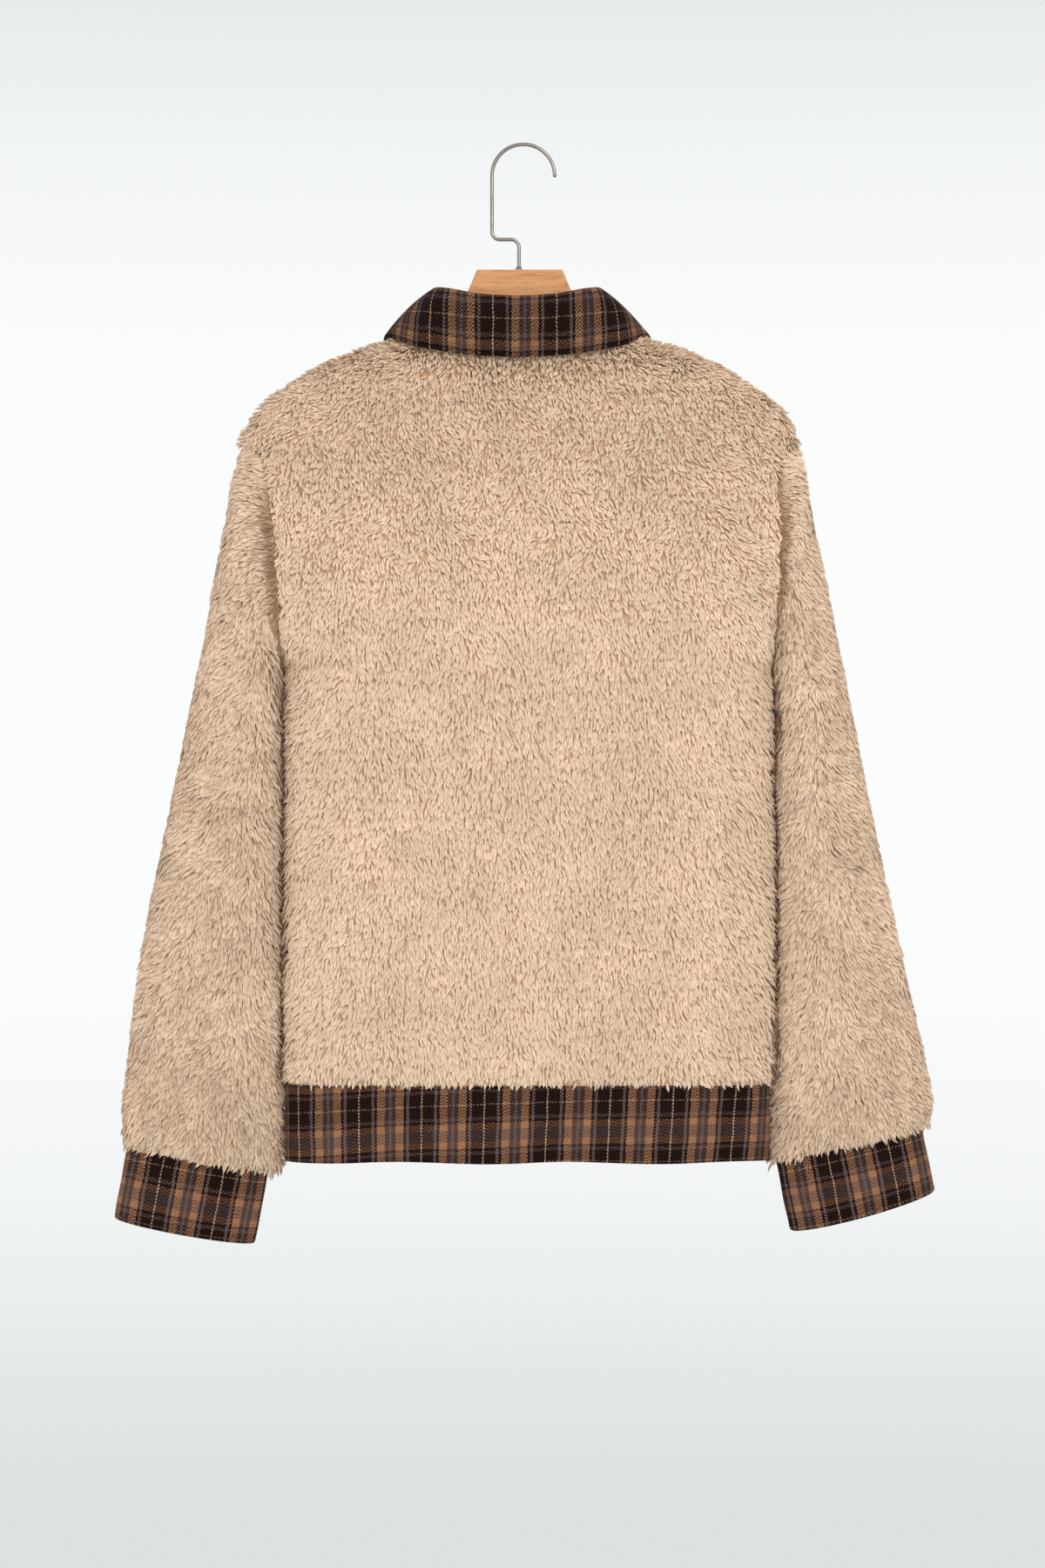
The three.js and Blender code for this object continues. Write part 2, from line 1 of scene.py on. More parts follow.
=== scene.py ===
"""A beige long-pile fleece pullover with herringbone plaid trims, on a beech hanger.

The tables and formulas work in millimetres, with +Z up and the origin at the inside top of the
hanger's hook. The garment's back faces -Y and its front faces +Y. Every mesh is written in metres.
"""

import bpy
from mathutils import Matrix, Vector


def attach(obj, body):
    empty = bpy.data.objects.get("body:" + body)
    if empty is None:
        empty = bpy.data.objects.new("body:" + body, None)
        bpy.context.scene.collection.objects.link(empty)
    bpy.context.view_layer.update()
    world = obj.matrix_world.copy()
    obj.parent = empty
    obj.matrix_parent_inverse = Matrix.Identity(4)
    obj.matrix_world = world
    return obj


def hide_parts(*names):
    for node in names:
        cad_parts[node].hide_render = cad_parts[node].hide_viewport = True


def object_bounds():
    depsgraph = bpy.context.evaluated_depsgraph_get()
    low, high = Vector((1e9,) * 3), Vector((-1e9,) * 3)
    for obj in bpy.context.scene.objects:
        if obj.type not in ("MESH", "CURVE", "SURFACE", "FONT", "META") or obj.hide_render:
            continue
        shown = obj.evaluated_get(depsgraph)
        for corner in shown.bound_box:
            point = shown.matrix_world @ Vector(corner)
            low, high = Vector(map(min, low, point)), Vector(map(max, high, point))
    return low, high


bl_info = {
    "name": "Fleece Polo Pullover",
    "version": (1, 0, 0),
    "blender": (4, 5, 0),
    "location": "View3D > Sidebar > Pullover",
    "description": "Adds a long-pile fleece pullover with plaid trims, hung on a beech hanger",
    "category": "Add Mesh",
}

import bpy
import numpy as np
from mathutils import Vector

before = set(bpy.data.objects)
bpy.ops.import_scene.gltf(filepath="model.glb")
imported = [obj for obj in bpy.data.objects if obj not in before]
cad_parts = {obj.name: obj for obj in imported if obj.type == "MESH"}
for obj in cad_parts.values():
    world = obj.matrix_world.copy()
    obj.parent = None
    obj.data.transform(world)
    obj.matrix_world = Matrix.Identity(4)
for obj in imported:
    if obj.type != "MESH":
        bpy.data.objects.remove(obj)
CAD_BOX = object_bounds()

MM = 0.001


# ---------------------------------------------------------------- numbers and tables


def table(columns, rows):
    """Rows of numbers as a dictionary with one array for each named column."""
    return dict(zip(columns.split(), np.array(rows, float).T))


def srgb(red, green, blue):
    """A screen colour from 0 to 255, as the linear colour that shaders use."""
    screen = np.array([red, green, blue]) / 255
    linear = np.where(screen <= 0.04045, screen / 12.92, ((screen + 0.055) / 1.055) ** 2.4)
    return tuple(float(value) for value in linear)


def mix(a, b, t):
    return a + (b - a) * t


def clamp01(value):
    return np.clip(value, 0, 1)


def ease(value):
    """0 below 0 and 1 above 1, with a smooth S between."""
    t = clamp01(value)
    return t * t * (3 - 2 * t)


def past(value, level, over):
    """0 up to a level, easing to 1 so far past it."""
    return ease((value - level) / over)


def short_of(value, level, over):
    """0 from a level on, easing to 1 so far short of it."""
    return ease((level - value) / over)


def smooth_join(keys, values, at):
    """Values at places along rising keys: a cubic through the rows with each row's own slope."""
    at = np.clip(at, keys[0], keys[-1])
    i = np.clip(np.searchsorted(keys, at, side="right") - 1, 0, len(keys) - 2)
    before = np.maximum(np.arange(len(keys)) - 1, 0)
    after = np.minimum(np.arange(len(keys)) + 1, len(keys) - 1)
    over = (keys[after] - keys[before]).reshape((-1,) + (1,) * (values.ndim - 1))
    slopes = (values[after] - values[before]) / over
    span = keys[i + 1] - keys[i]
    t = (at - keys[i]) / span
    if values.ndim > 1:
        shape = t.shape + (1,) * (values.ndim - 1)
        t, span = t.reshape(shape), span.reshape(shape)
    tangents = span * (slopes[i] * t * (1 - t) ** 2 - slopes[i + 1] * t * t * (1 - t))
    return mix(values[i], values[i + 1], t * t * (3 - 2 * t)) + tangents


def look(rows, key, column, at):
    """One column of a table at places along another."""
    return smooth_join(rows[key], rows[column], np.asarray(at, float))


def unit(vectors):
    return vectors / np.maximum(np.linalg.norm(vectors, axis=-1, keepdims=True), 1e-12)


def square_to(vectors, ways):
    """Unit vectors square to unit ways: what lies along those is taken off."""
    return unit(vectors - ways * (vectors * ways).sum(-1, keepdims=True))


def run_along(line):
    """How far along a line of points each of them lies from the first."""
    steps = np.linalg.norm(np.diff(line, axis=0), axis=1)
    return np.concatenate([[0], np.cumsum(steps)])


def run_round(ring):
    """How far round a closed ring each point lies from the first, and its whole length last."""
    return run_along(np.concatenate([ring, ring[:1]]))


def rise_from_edge(grid):
    """How far each point of a grid lies from the last row, up its own column."""
    steps = np.linalg.norm(np.diff(grid, axis=0, append=grid[-1:]), axis=-1)
    return steps[::-1].cumsum(axis=0)[::-1]


def evenly(curve, first, last, count):
    """Parameters from first to last at which the points of a curve are equally far apart."""
    fine = np.linspace(first, last, 3001)
    run = run_along(curve(fine))
    return np.interp(np.linspace(0, run[-1], count), run, fine)


def ripple(x, z, size, seed):
    """A smooth random field from -1 to 1: seven sine waves about size long, each its own way."""
    rng = np.random.default_rng(seed)
    total = 0
    for _ in range(7):
        heading, phase = rng.uniform(0, 2 * np.pi, 2)
        wave = 2 * np.pi / (size * rng.uniform(0.7, 1.5))
        total = total + np.sin(wave * (x * np.cos(heading) + z * np.sin(heading)) + phase)
    return np.clip(total / 3, -1, 1)


# ---------------------------------------------------------------- driving dimensions

SIDES = {"left": -1, "right": 1}    # the wearer's left is towards -X
SEAM = 0.3
BACKING = {"outer": 2.6, "inner": 4.4}    # how far the knitted backing lies below the pile's tips
TRIM = 2.4
COLLAR_PLY = 1.5

# The pile's layers: low locks that fill, and curved ones on them. The front has wider ones. share
# is of all the locks, places are where a lock is broad, tone is how pale it is, lower on the low
# locks as painted shade below the curved ones, and the other numbers multiply the fleece's own
# sizes.
PILE_LAYERS = {
    "fine": [
        {"share": 0.64, "places": (0.45,), "rise": 0.7, "long": 1.0, "wide": 1.1, "tone": 0.42},
        {"share": 0.36, "places": (0.32, 0.68), "rise": 1.1, "long": 0.95, "wide": 1, "tone": 0.58},
    ],
    "wide": [
        {"share": 0.66, "places": (0.45,), "rise": 0.7, "long": 1.1, "wide": 1.35, "tone": 0.42},
        {"share": 0.34, "places": (0.55,), "rise": 1.1, "long": 1.1, "wide": 1.2, "tone": 0.58},
    ],
}
# The heights that part a panel's pile into pieces.
PILE_PARTS = {"back": [-575, -380], "front": []}
# Where the pile begins to curl, and where the painted shade of the upper panels and their darker
# flecked locks begins, and over what height each grows to its full.
CURLED = (-420, 110)
UPPER_SHADE_FROM = (-310, 70)
CURLED_LENGTH = 0.72    # of a straight lock's
EDGE_RISE = 0.75        # how much higher the pile stands on a rounded edge
DEEP_SHADE = 0.8        # in the slits and grooves
PARTING = {"left": -0.45, "right": -0.15}    # from -1 at a sleeve's inner end to 1 at its outer
FRONT_SHARE = {"panels": 1, "sleeves": 0.45}    # of the locks, where a surface faces the front
ROOT_DEPTH = 0.3        # how far a lock's root sits in the backing
TUFT_ROUND = 0.35       # how far a lock's edges are turned outwards
UNDERSIDE_LIT = 0.6     # how far its underside is turned the cloth's way
DARKEST = 0.85          # the most that a lock is shaded
# The steps of an even spread of points: 1 over the plastic number, and that squared.
EVEN_STEPS = (0.7548776662466927, 0.5698402909980532)
CELL_KEYS = np.array([73856093, 19349663, 83492791])    # primes, so that each cell has its own key

ARM_STEPS = 10
Z_UNDERARM = -428.0
Z_HEM_SEAM = -777.0
Z_HEM_EDGE = -838.0
HEM_RIPPLE = 0.9
TRIM_LAP = 2.5    # how far the band's and the cuffs' cloth reaches up over the backing
# How far inside the panels' backing a sleeve's backing starts, how deep it lies there below the
# pile's tips, and how far outside the seam it turns down to that depth.
SLEEVE_LAP = {"reach": 2.5, "outer": 4.7, "inner": 5.9, "outer_turn": 0.0, "inner_turn": 1.0}

NECK_HALF = 72.0
NECKS = {
    "back": {"depth": 26, "middle_z": -154, "side_z": -139, "bend": 2},
    "front": {"depth": 34, "middle_z": -262, "side_z": -139, "bend": 1.15},
}
RIDGE = 38.0
SIDE_POWER = 6
TUBE_POWER = 0.85
ARMHOLE_DEPTH = {"back": 23, "front": 25}
LOWER_ROWS = np.array([Z_UNDERARM, -480, -560, -650, -725, -762, Z_HEM_SEAM])

# The shoulder seam, out from the centre line.
SHOULDER = table("out z", [
    [72, -139], [90, -156], [106, -165], [125, -169], [145, -174.5],
    [167, -184], [190, -198.5], [208, -212], [219, -226], [226.5, -243],
])
SHOULDER_OUT = SHOULDER["out"][-1]
NECK_SHARE = NECK_HALF / SHOULDER_OUT

# The body by the height of its side edge: its centre line's shift, half-width and two depths.
BODY = table("z middle half back front", [
    [-777, 3.2, 200.8, 25, 27],
    [-768, 4.2, 202.4, 27.5, 29.5],
    [-745, 4.6, 202.8, 28, 30],
    [-600, 4.9, 202.8, 27.5, 30],
    [-428, 5, 202.5, 27, 30],
    [-360, 4, 204.5, 26.5, 29],
    [-315, 2.7, 206.6, 26, 28],
    [-275, 0.5, 209, 25.5, 27.5],
    [-256, -1, 212, 25, 27],
    [-248, -2, 219, 24.5, 26.5],
    [-243, -3, 226.5, 24, 26],
])

# Broad soft troughs in the panels: centre, upper end, lower end, half-width and depth.
FOLDS = {
    "back": table("x top bottom spread depth", [
        [186, -215, -420, 26, 3.2],
        [-168, -195, -330, 34, 2.6],
        [96, -470, -760, 26, 2.2],
        [-104, -560, -770, 24, 1.8],
        [8, -300, -520, 30, 1.6],
        [-28, -600, -772, 20, 1.4],
    ]),
    "front": table("x top bottom spread depth", [
        [-182, -220, -410, 28, 3],
        [160, -205, -350, 30, 2.4],
        [-88, -440, -750, 28, 2.2],
        [70, -520, -768, 24, 1.9],
        [124, -600, -770, 20, 1.5],
    ]),
}

# Sharper creases: a trough from one end to the other, its half-width and its depth. They fade over
# a share of their length, and a lip's place and height are shares of the half-width and the depth.
CREASE_FADE = 0.35
LIP = {"out": 1.7, "height": 0.38}
CREASE_COLUMNS = "x1 z1 x2 z2 width depth"
CREASES = {
    "back": table(CREASE_COLUMNS, [
        [192, -222, 186, -345, 12, 3.6],
        [-206, -236, -150, -202, 15, 2.6],
        [-172, -560, -174, -742, 10, 1.8],
        [75, -560, 62, -700, 13, 1.8],
        [-20, -590, -24, -762, 11, 1.6],
        [140, -500, 128, -744, 12, 1.8],
        [-118, -380, -96, -470, 14, 1.4],
        [44, -330, 70, -420, 14, 1.3],
        [-64, -640, -60, -770, 9, 1.5],
        [178, -600, 180, -760, 10, 1.5],
    ]),
    "front": table(CREASE_COLUMNS, [
        [-190, -226, -184, -350, 12, 3.4],
        [204, -238, 156, -206, 15, 2.4],
        [166, -570, 170, -740, 10, 1.7],
        [-70, -550, -58, -700, 13, 1.9],
        [28, -600, 22, -764, 11, 1.6],
        [-134, -510, -126, -740, 12, 1.7],
        [96, -370, 84, -480, 13, 1.4],
        [-20, -300, -52, -390, 12, 1.2],
    ]),
    "left": table(CREASE_COLUMNS, [
        [-289, -505, -217, -527, 11, 2.4],
        [-262, -640, -257, -710, 10, 2.4],
        [-283, -768, -286, -826, 7, 2.8],
        [-254, -758, -251, -838, 7, 2.8],
        [-224, -330, -236, -420, 12, 2.2],
        [-300, -600, -270, -622, 10, 1.4],
        [-311, -775, -314, -815, 6, 2.0],
    ]),
    "right": table(CREASE_COLUMNS, [
        [256, -562, 307, -674, 10, 2.4],
        [284, -576, 291, -694, 11, 2.6],
        [256, -436, 270, -484, 10, 1.6],
        [236, -318, 246, -410, 12, 2.0],
        [270, -752, 266, -828, 7, 2.6],
        [304, -742, 310, -806, 7, 2.6],
        [238, -770, 236, -836, 6, 2.0],
    ]),
}

# Sleeve sections, from the inner end beside the body to the outer end, as distances out from
# x = 0. shift is how far the section's middle lies towards the front.
SLEEVE_COLUMNS = "in_x in_z out_x out_z depth shift"
SLEEVES = {
    "left": table(SLEEVE_COLUMNS, [
        [201.2, -434, 235.6, -264, 27, 0.5],
        [201.8, -442, 245, -310, 29, 1],
        [202, -453, 254, -355, 30.5, 2],
        [201.6, -471, 262, -401, 31, 3],
        [200.8, -498, 272, -447, 31, 4],
        [200.6, -545, 284.5, -508, 30, 5],
        [200.6, -600, 297, -568, 29, 6],
        [200.6, -660, 310, -632, 27.5, 6.5],
        [200.6, -715, 320, -694, 26, 7],
        [200.6, -765, 327.5, -750, 24.5, 7.5],
        [200.6, -806, 332, -794, 23, 8],
        [201.6, -836, 332, -818.5, 21.5, 8],
    ]),
    "right": table(SLEEVE_COLUMNS, [
        [209.4, -434, 229.5, -264, 27, 0.5],
        [210.4, -442, 238, -310, 29, 1],
        [210.8, -453, 248, -355, 30.5, 2],
        [210.8, -471, 257.5, -401, 31, 3],
        [210.6, -498, 267.5, -447, 31, 4],
        [210.6, -545, 279.5, -508, 30, 5],
        [210.6, -600, 292, -568, 29, 6],
        [210.6, -660, 305, -630, 27.5, 6.5],
        [210.4, -715, 318, -690, 26, 7],
        [209.4, -765, 330.5, -744, 24.5, 7.5],
        [206.4, -804, 338.5, -785, 23, 8],
        [205.6, -828, 337, -804.5, 21.5, 8],
    ]),
}
SLEEVE_OVER_CUFF = 1.6
CUFF_DEPTH = 57

# Cuffs from the upper to the lower edge. belly is how far the back's middle hangs lower.
CUFF_COLUMNS = SLEEVE_COLUMNS + " belly"
CUFFS = {
    "left": table(CUFF_COLUMNS, [
        [211.6, -851, 328.4, -830, 16.5, 8, 0],
        [217, -879, 334, -858, 18, 8, 1],
        [222.6, -907, 339, -886, 18.5, 8, 2.6],
    ]),
    "right": table(CUFF_COLUMNS, [
        [210, -842.4, 331, -813.6, 16.5, 8, 0],
        [215, -869.5, 336.4, -838.5, 18, 8, 1.5],
        [220.4, -896.4, 340.4, -863, 18.5, 8, 4.5],
    ]),
}

# Collar, from the centre back (0) by the neck point (0.5) to the centre front (1). The roll line
# is its top, edge is the leaf's free edge, and the two rounds place the bend between them.
COLLAR_MIDDLE = -5.0
COLLAR = table("along roll_x roll_y roll_z edge_x edge_y edge_z round_out round_down", [
    [0.0, 0, -25, -126.6, 0, -36, -174, 0.9, 0.12],
    [0.2, 31, -23.5, -124.6, 43, -36, -171.5, 0.85, 0.14],
    [0.36, 57, -15, -119, 84, -32, -164.5, 0.7, 0.2],
    [0.5, 69.5, 0, -117.4, 109.5, 0, -156, 0.54, 0.36],
    [0.64, 67, 16, -125, 107, 33.5, -180.5, 0.6, 0.24],
    [0.8, 47, 30, -165, 88, 40, -230, 0.6, 0.2],
    [1.0, 3.5, 38.5, -250, 47, 43, -284, 0.5, 0.3],
])
UNDER_STARTS = 0.12    # as a share of the leaf
UNDER_EDGE_SHOWS = 2.4
STAND_WIDTH = 24
STAND_FOOT_INWARD = 1.0
STAND_TOP = {"down": 3.6, "inward": 4.0}
# The leaf's fold over the stand's top, the cloth that it takes and the tail below it.
ROLL_OVER = {"inward": 7.4, "down": 5.0, "cloth": 10.0, "tail": 4.0}
FRONT_APART = 1.0
EDGE_STITCH = {"up": 3.2, "length": 3.0, "gap": 0.7, "radius": 0.32, "lift": 0.1}

# The hook: the solid wire's radius and the one it is drawn with, and its route.
WIRE = {"radius": 1.7, "drawn": 1.55, "stem_x": -3.6, "jog_z": -77, "jog_radius": 6.5,
        "loop_radius": 25.9}
WOOD_TOP = -102.2
FERRULE = {"radius": 3.7, "height": 2.3}
STEM_DEPTH = 16

# The plaid's thread order, the same in both directions, out from a fine line to the middle of the
# check, where it turns back. to is where each band ends.
YARNS = ("ground", "fine", "mauve", "dusk", "tan")
HALF_REPEAT = 25.35
WARP_BANDS = [
    ("fine", 0.55), ("ground", 10.2), ("mauve", 12.5), ("ground", 14.6), ("tan", 20.9),
    ("dusk", 24.3), ("mauve", HALF_REPEAT),
]
WEFT_BANDS = [
    ("fine", 0.45), ("ground", 10.1), ("mauve", 13.0), ("ground", 15.2), ("tan", 20.6),
    ("mauve", HALF_REPEAT),
]
RIB = {"width": 4.7, "turn": -1.5, "slope": 1.2, "pitch": 2.65, "warp": 0.62}

# Where the fine lines fall on each trim, from the middle of its back, and how far its cloth is
# drawn out across and down.
PLAID_PLACES = {
    "hem_band": {"across": 19.8, "down": 11.4, "wide": 1.017, "tall": 1.0},
    "cuff_left": {"across": -26.8, "down": 6.1, "wide": 1.0, "tall": 1.05},
    "cuff_right": {"across": -20.2, "down": 7.0, "wide": 1.0, "tall": 0.96},
    "collar": {"across": -19.8, "down": 22.3, "wide": 1.03, "tall": 1.25, "light": 0.8},
    "under": {"across": -19.8, "down": 46.0, "wide": 1.03, "tall": 1.25, "light": 0.8},
}

# How finely each piece is worked out: points across or round it, and down it.
GRIDS = {
    "panel_backing": (60, 64), "panel_pile": (170, 190),
    "sleeve_backing": (48, 56), "sleeve_pile": (140, 190),
    "hem_band": (320, 18), "cuff": (120, 18),
    "leaf": (80, 30), "under": (60, 14), "stand": (60, 6),
}

# The stage, in metres: the view's centre across and up, the floor and the lights, whose places
# are measured from the garment's middle and whose powers are shares of the key light's.
VIEW = (-0.0007, -0.527)
FLOOR = {"drop": 0.75, "radius": 2.2, "sides": 96}
LIGHTS = {
    "key": {"place": (1.0, -2.6, 1.5), "size": 1.6, "share": 1.0},
    "fill": {"place": (-2.4, -1.8, 0.3), "size": 2.4, "share": 0.4},
    "rim": {"place": (0.6, 2.4, 1.4), "size": 1.6, "share": 0.5},
}


# ---------------------------------------------------------------- meshes


def add_mesh(name, points, faces, uv=None, values=None, facing=None):
    """A smooth-shaded object from points in millimetres and faces of one size.

    uv holds each face corner's place on the cloth in metres, values one named number a point, and
    facing the normal that each face corner is shaded with.
    """
    mesh = bpy.data.meshes.new(name)
    mesh.vertices.add(len(points))
    mesh.vertices.foreach_set("co", np.ascontiguousarray(points * MM, np.float32).ravel())
    mesh.loops.add(faces.size)
    mesh.loops.foreach_set("vertex_index", np.ascontiguousarray(faces, np.int32).ravel())
    mesh.polygons.add(len(faces))
    starts = np.arange(0, faces.size, faces.shape[1], dtype=np.int32)
    mesh.polygons.foreach_set("loop_start", starts)
    if uv is not None:
        layer = mesh.uv_layers.new(name="cloth")
        layer.data.foreach_set("uv", np.ascontiguousarray(uv * MM, np.float32).ravel())
    for key, numbers in (values or {}).items():
        layer = mesh.attributes.new(key, "FLOAT", "POINT")
        layer.data.foreach_set("value", np.ascontiguousarray(numbers, np.float32).ravel())
    mesh.update(calc_edges=True)
    mesh.validate()
    mesh.shade_smooth()
    if facing is not None:
        mesh.normals_split_custom_set(facing)
    piece = bpy.data.objects.new(name, mesh)
    bpy.context.scene.collection.objects.link(piece)
    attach(piece, "root")
    return piece


def outward(points, faces):
    """True if a closed mesh's faces point out, which its signed volume tells."""
    a, b, c = points[faces[:, 0]], points[faces[:, 1]], points[faces[:, 2]]
    total = np.einsum("ij,ij->", a, np.cross(b, c))
    if faces.shape[1] == 4:
        d = points[faces[:, 3]]
        total += np.einsum("ij,ij->", a, np.cross(c, d))
    return total > 0


def quads(rows, columns, closed_down, closed_along):
    """The faces between neighbouring points of a grid, joined end to end where it is closed."""
    i = np.arange(rows if closed_down else rows - 1)[:, None]
    j = np.arange(columns if closed_along else columns - 1)
    low, high, after = i * columns, (i + 1) % rows * columns, (j + 1) % columns
    return np.stack([low + j, low + after, high + after, high + j], -1).reshape(-1, 4)


def cloth_shell(name, skin, around, along, down, thickness=None, inner=None):
    """A closed thin shell on a grid of points: its face, its back and half-round edges.

    skin runs down its rows and along its columns. The back is either a second grid or the face
    moved in by the thickness. Each end of the rows closes with a half circle between the two.
    around joins the last column to the first. along and down are the cloth's own coordinates, one
    a column and one a row, or both one a point.
    """
    face = skin.copy()
    if inner is None:
        ways = surface_ways(face, around)
        depth = thickness
        inner_grid = face - ways["normal"] * thickness
        step_down = ways["down"]
    else:
        inner_grid = inner.copy()
        step_down = unit(np.gradient(face, axis=0))
        depth = np.linalg.norm(face[-1] - inner_grid[-1], axis=-1).mean()
    turn = np.radians([36, 72, 108, 144])[:, None, None]

    def half_round(end, sign):
        """Pulls one end's rows back by half the thickness and returns the arc between them."""
        pull = -sign * depth / 2 * step_down[end]
        face[end] += pull
        inner_grid[end] += pull
        centre, spoke = (face[end] + inner_grid[end]) / 2, (face[end] - inner_grid[end]) / 2
        return centre + spoke * np.cos(turn) + sign * depth / 2 * step_down[end] * np.sin(turn)

    top, bottom = half_round(0, -1), half_round(-1, 1)
    loop = np.concatenate([top[1::-1], face, bottom, inner_grid[::-1], top[:1:-1]])
    on_face = np.arange(len(face))
    order = np.concatenate([[0, 0], on_face, [-1] * len(turn), on_face[::-1], [0, 0]])
    down = down if down.ndim == 2 else down[:, None]
    cloth = np.stack(np.broadcast_arrays(along, down), -1)[order]
    rows, columns = loop.shape[:2]
    faces = quads(rows, columns, True, around)
    below = np.roll(cloth, -1, axis=0)
    uv = np.stack([cloth[:, :-1], cloth[:, 1:], below[:, 1:], below[:, :-1]], 2).reshape(-1, 4, 2)
    if not around:
        k = np.arange(rows // 2 - 1)
        for column, order in ((0, 1), (columns - 1, -1)):
            corners = np.stack([k, k + 1, rows - 2 - k, rows - 1 - k], -1)
            cap = (corners * columns + column)[:, ::order]
            cap_uv = cloth[corners, column][:, ::order]
            faces, uv = np.concatenate([faces, cap]), np.concatenate([uv, cap_uv])
    points = loop.reshape(-1, 3)
    order = 1 if outward(points, faces) else -1
    return add_mesh(name, points, faces[:, ::order], uv[:, ::order])


def surface_ways(grid, around):
    """Unit directions down the rows, along the columns and out of a grid of points.

    The normal is the two directions' cross product, turned to point away from the middle of what
    the grid wraps, which is the mean of each row on a tube and the plane y = 0 on a panel.
    """
    down = np.gradient(grid, axis=0)
    if around:
        side = (np.roll(grid, -1, 1) - np.roll(grid, 1, 1)) / 2
        middle = grid.mean(axis=1, keepdims=True)
    else:
        side = np.gradient(grid, axis=1)
        middle = grid * np.array([1, 0, 1])
    normal = unit(np.cross(down, side))
    if np.einsum("ijk,ijk->", normal, grid - middle) < 0:
        normal = -normal
    down = unit(down)
    return {"down": down, "side": square_to(side, down), "normal": normal}


def crease_depth(rows, x, z):
    """Soft troughs between low lips: a bell across each crease's line, fading at both its ends."""
    total = np.zeros_like(x)
    for x1, z1, x2, z2, width, depth in zip(*rows.values()):
        length = np.hypot(x2 - x1, z2 - z1)
        along = ((x - x1) * (x2 - x1) + (z - z1) * (z2 - z1)) / length ** 2
        across = ((x - x1) * (z2 - z1) - (z - z1) * (x2 - x1)) / length / width
        first, last = (ease(share / CREASE_FADE + 0.3) for share in (along, 1 - along))
        lips = sum(np.exp(-((across + way * LIP["out"]) ** 2)) for way in (-1, 1))
        total += depth * first * last * (np.exp(-across * across) - LIP["height"] * lips)
    return total


# ---------------------------------------------------------------- front and back panels


def arm_angle(row):
    return np.pi * np.minimum(row, ARM_STEPS) / ARM_STEPS


def flat_round(share, power=SIDE_POWER):
    """How deep a flattened round is, as a share: the root of 1 - share^power."""
    return np.sqrt(np.maximum(0, 1 - np.abs(share) ** power))


def upper_edge(face, share):
    """The upper outline's height, neckline or shoulder seam, and the neckline's depth."""
    neck, out = NECKS[face], np.abs(share) * SHOULDER_OUT
    t = clamp01(out / NECK_HALF)
    on_neck = out < NECK_HALF - 1e-6
    neck_z = mix(neck["middle_z"], neck["side_z"], t ** neck["bend"])
    z = np.where(on_neck, neck_z, look(SHOULDER, "out", "z", out))
    return z, np.where(on_neck, neck["depth"] * np.sqrt(np.maximum(0, 1 - t * t)), 0)


def row_height(top, row):
    """Along the upper outline at first, level below the underarm."""
    upper = mix(top, Z_UNDERARM, 0.5 - 0.5 * np.cos(arm_angle(row)))
    lower = np.interp(row - ARM_STEPS, np.arange(len(LOWER_ROWS)), LOWER_ROWS)
    return np.where(row > ARM_STEPS, lower, upper)


def fold_depth(face, x, z):
    """Broad troughs: half a sine along each and a bell across it."""
    total = 0
    rows = FOLDS[face]
    for middle, top, bottom, spread, depth in zip(*rows.values()):
        along = clamp01((top - z) / (top - bottom))
        total = total + depth * np.sin(np.pi * along) * np.exp(-((x - middle) / spread) ** 2)
    return total


def panel_points(face, share, row, inset):
    """Points of a panel, share -1 to 1 across and row 0 down from its upper outline.

    The section is a flattened round, as deep as the body's table says. It grows from nothing at
    the shoulder seam over the ridge, as a quarter circle does, and ends on the armhole's rim.
    """
    share, row = np.broadcast_arrays(np.asarray(share, float), np.asarray(row, float))
    edge_z = row_height(SHOULDER["z"][-1], row)
    top_z, top_depth = upper_edge(face, share)
    z = row_height(top_z, row)
    deepest = look(BODY, "z", face, edge_z)
    ridge = np.sqrt(1 - (1 - clamp01((top_z - z) / RIDGE)) ** 2)
    flat = flat_round(share)
    rim = ARMHOLE_DEPTH[face] * np.maximum(0, np.sin(arm_angle(row))) ** TUBE_POWER
    side_shift = inset * clamp01((row - ARM_STEPS + 2) / 2)
    x = look(BODY, "z", "middle", edge_z) + share * (look(BODY, "z", "half", edge_z) - side_shift)
    full = mix(rim, mix(top_depth, deepest, ridge), flat)
    hollow = fold_depth(face, x, z) + crease_depth(CREASES[face], x, z)
    depth = full * (1 - inset / deepest) - ridge * flat * hollow
    on_seam = 1 - top_depth / NECKS[face]["depth"]
    up = mix((1 - ridge) * on_seam, np.cos(arm_angle(row)), np.abs(share) ** 12)
    up = np.where(row > ARM_STEPS, 0, up)
    side = -1 if face == "back" else 1
    return np.stack([x, side * (depth + SEAM / 2), z - inset * up], -1)


def panel_spacing(face, across, down):
    """Shares and rows that lie evenly on the cloth, with the neck points kept."""
    def level(share):
        return panel_points(face, share, 13.0, 0)

    def plumb(row):
        return panel_points(face, 0.55, row, 0)

    neck = int(round(across * NECK_SHARE * 0.96))
    wing = (across - neck) // 2
    outer = evenly(level, NECK_SHARE, 1, wing)
    middle = evenly(level, -NECK_SHARE, NECK_SHARE, neck)
    shares = np.concatenate([-outer[::-1], middle[1:-1], outer])
    return shares, evenly(plumb, 0, ARM_STEPS + len(LOWER_ROWS) - 1, down)


def panel_grid(face, across, down, inset):
    shares, rows = panel_spacing(face, across, down)
    return panel_points(face, shares[None, :], rows[:, None], inset)


# ---------------------------------------------------------------- sleeves and cuffs


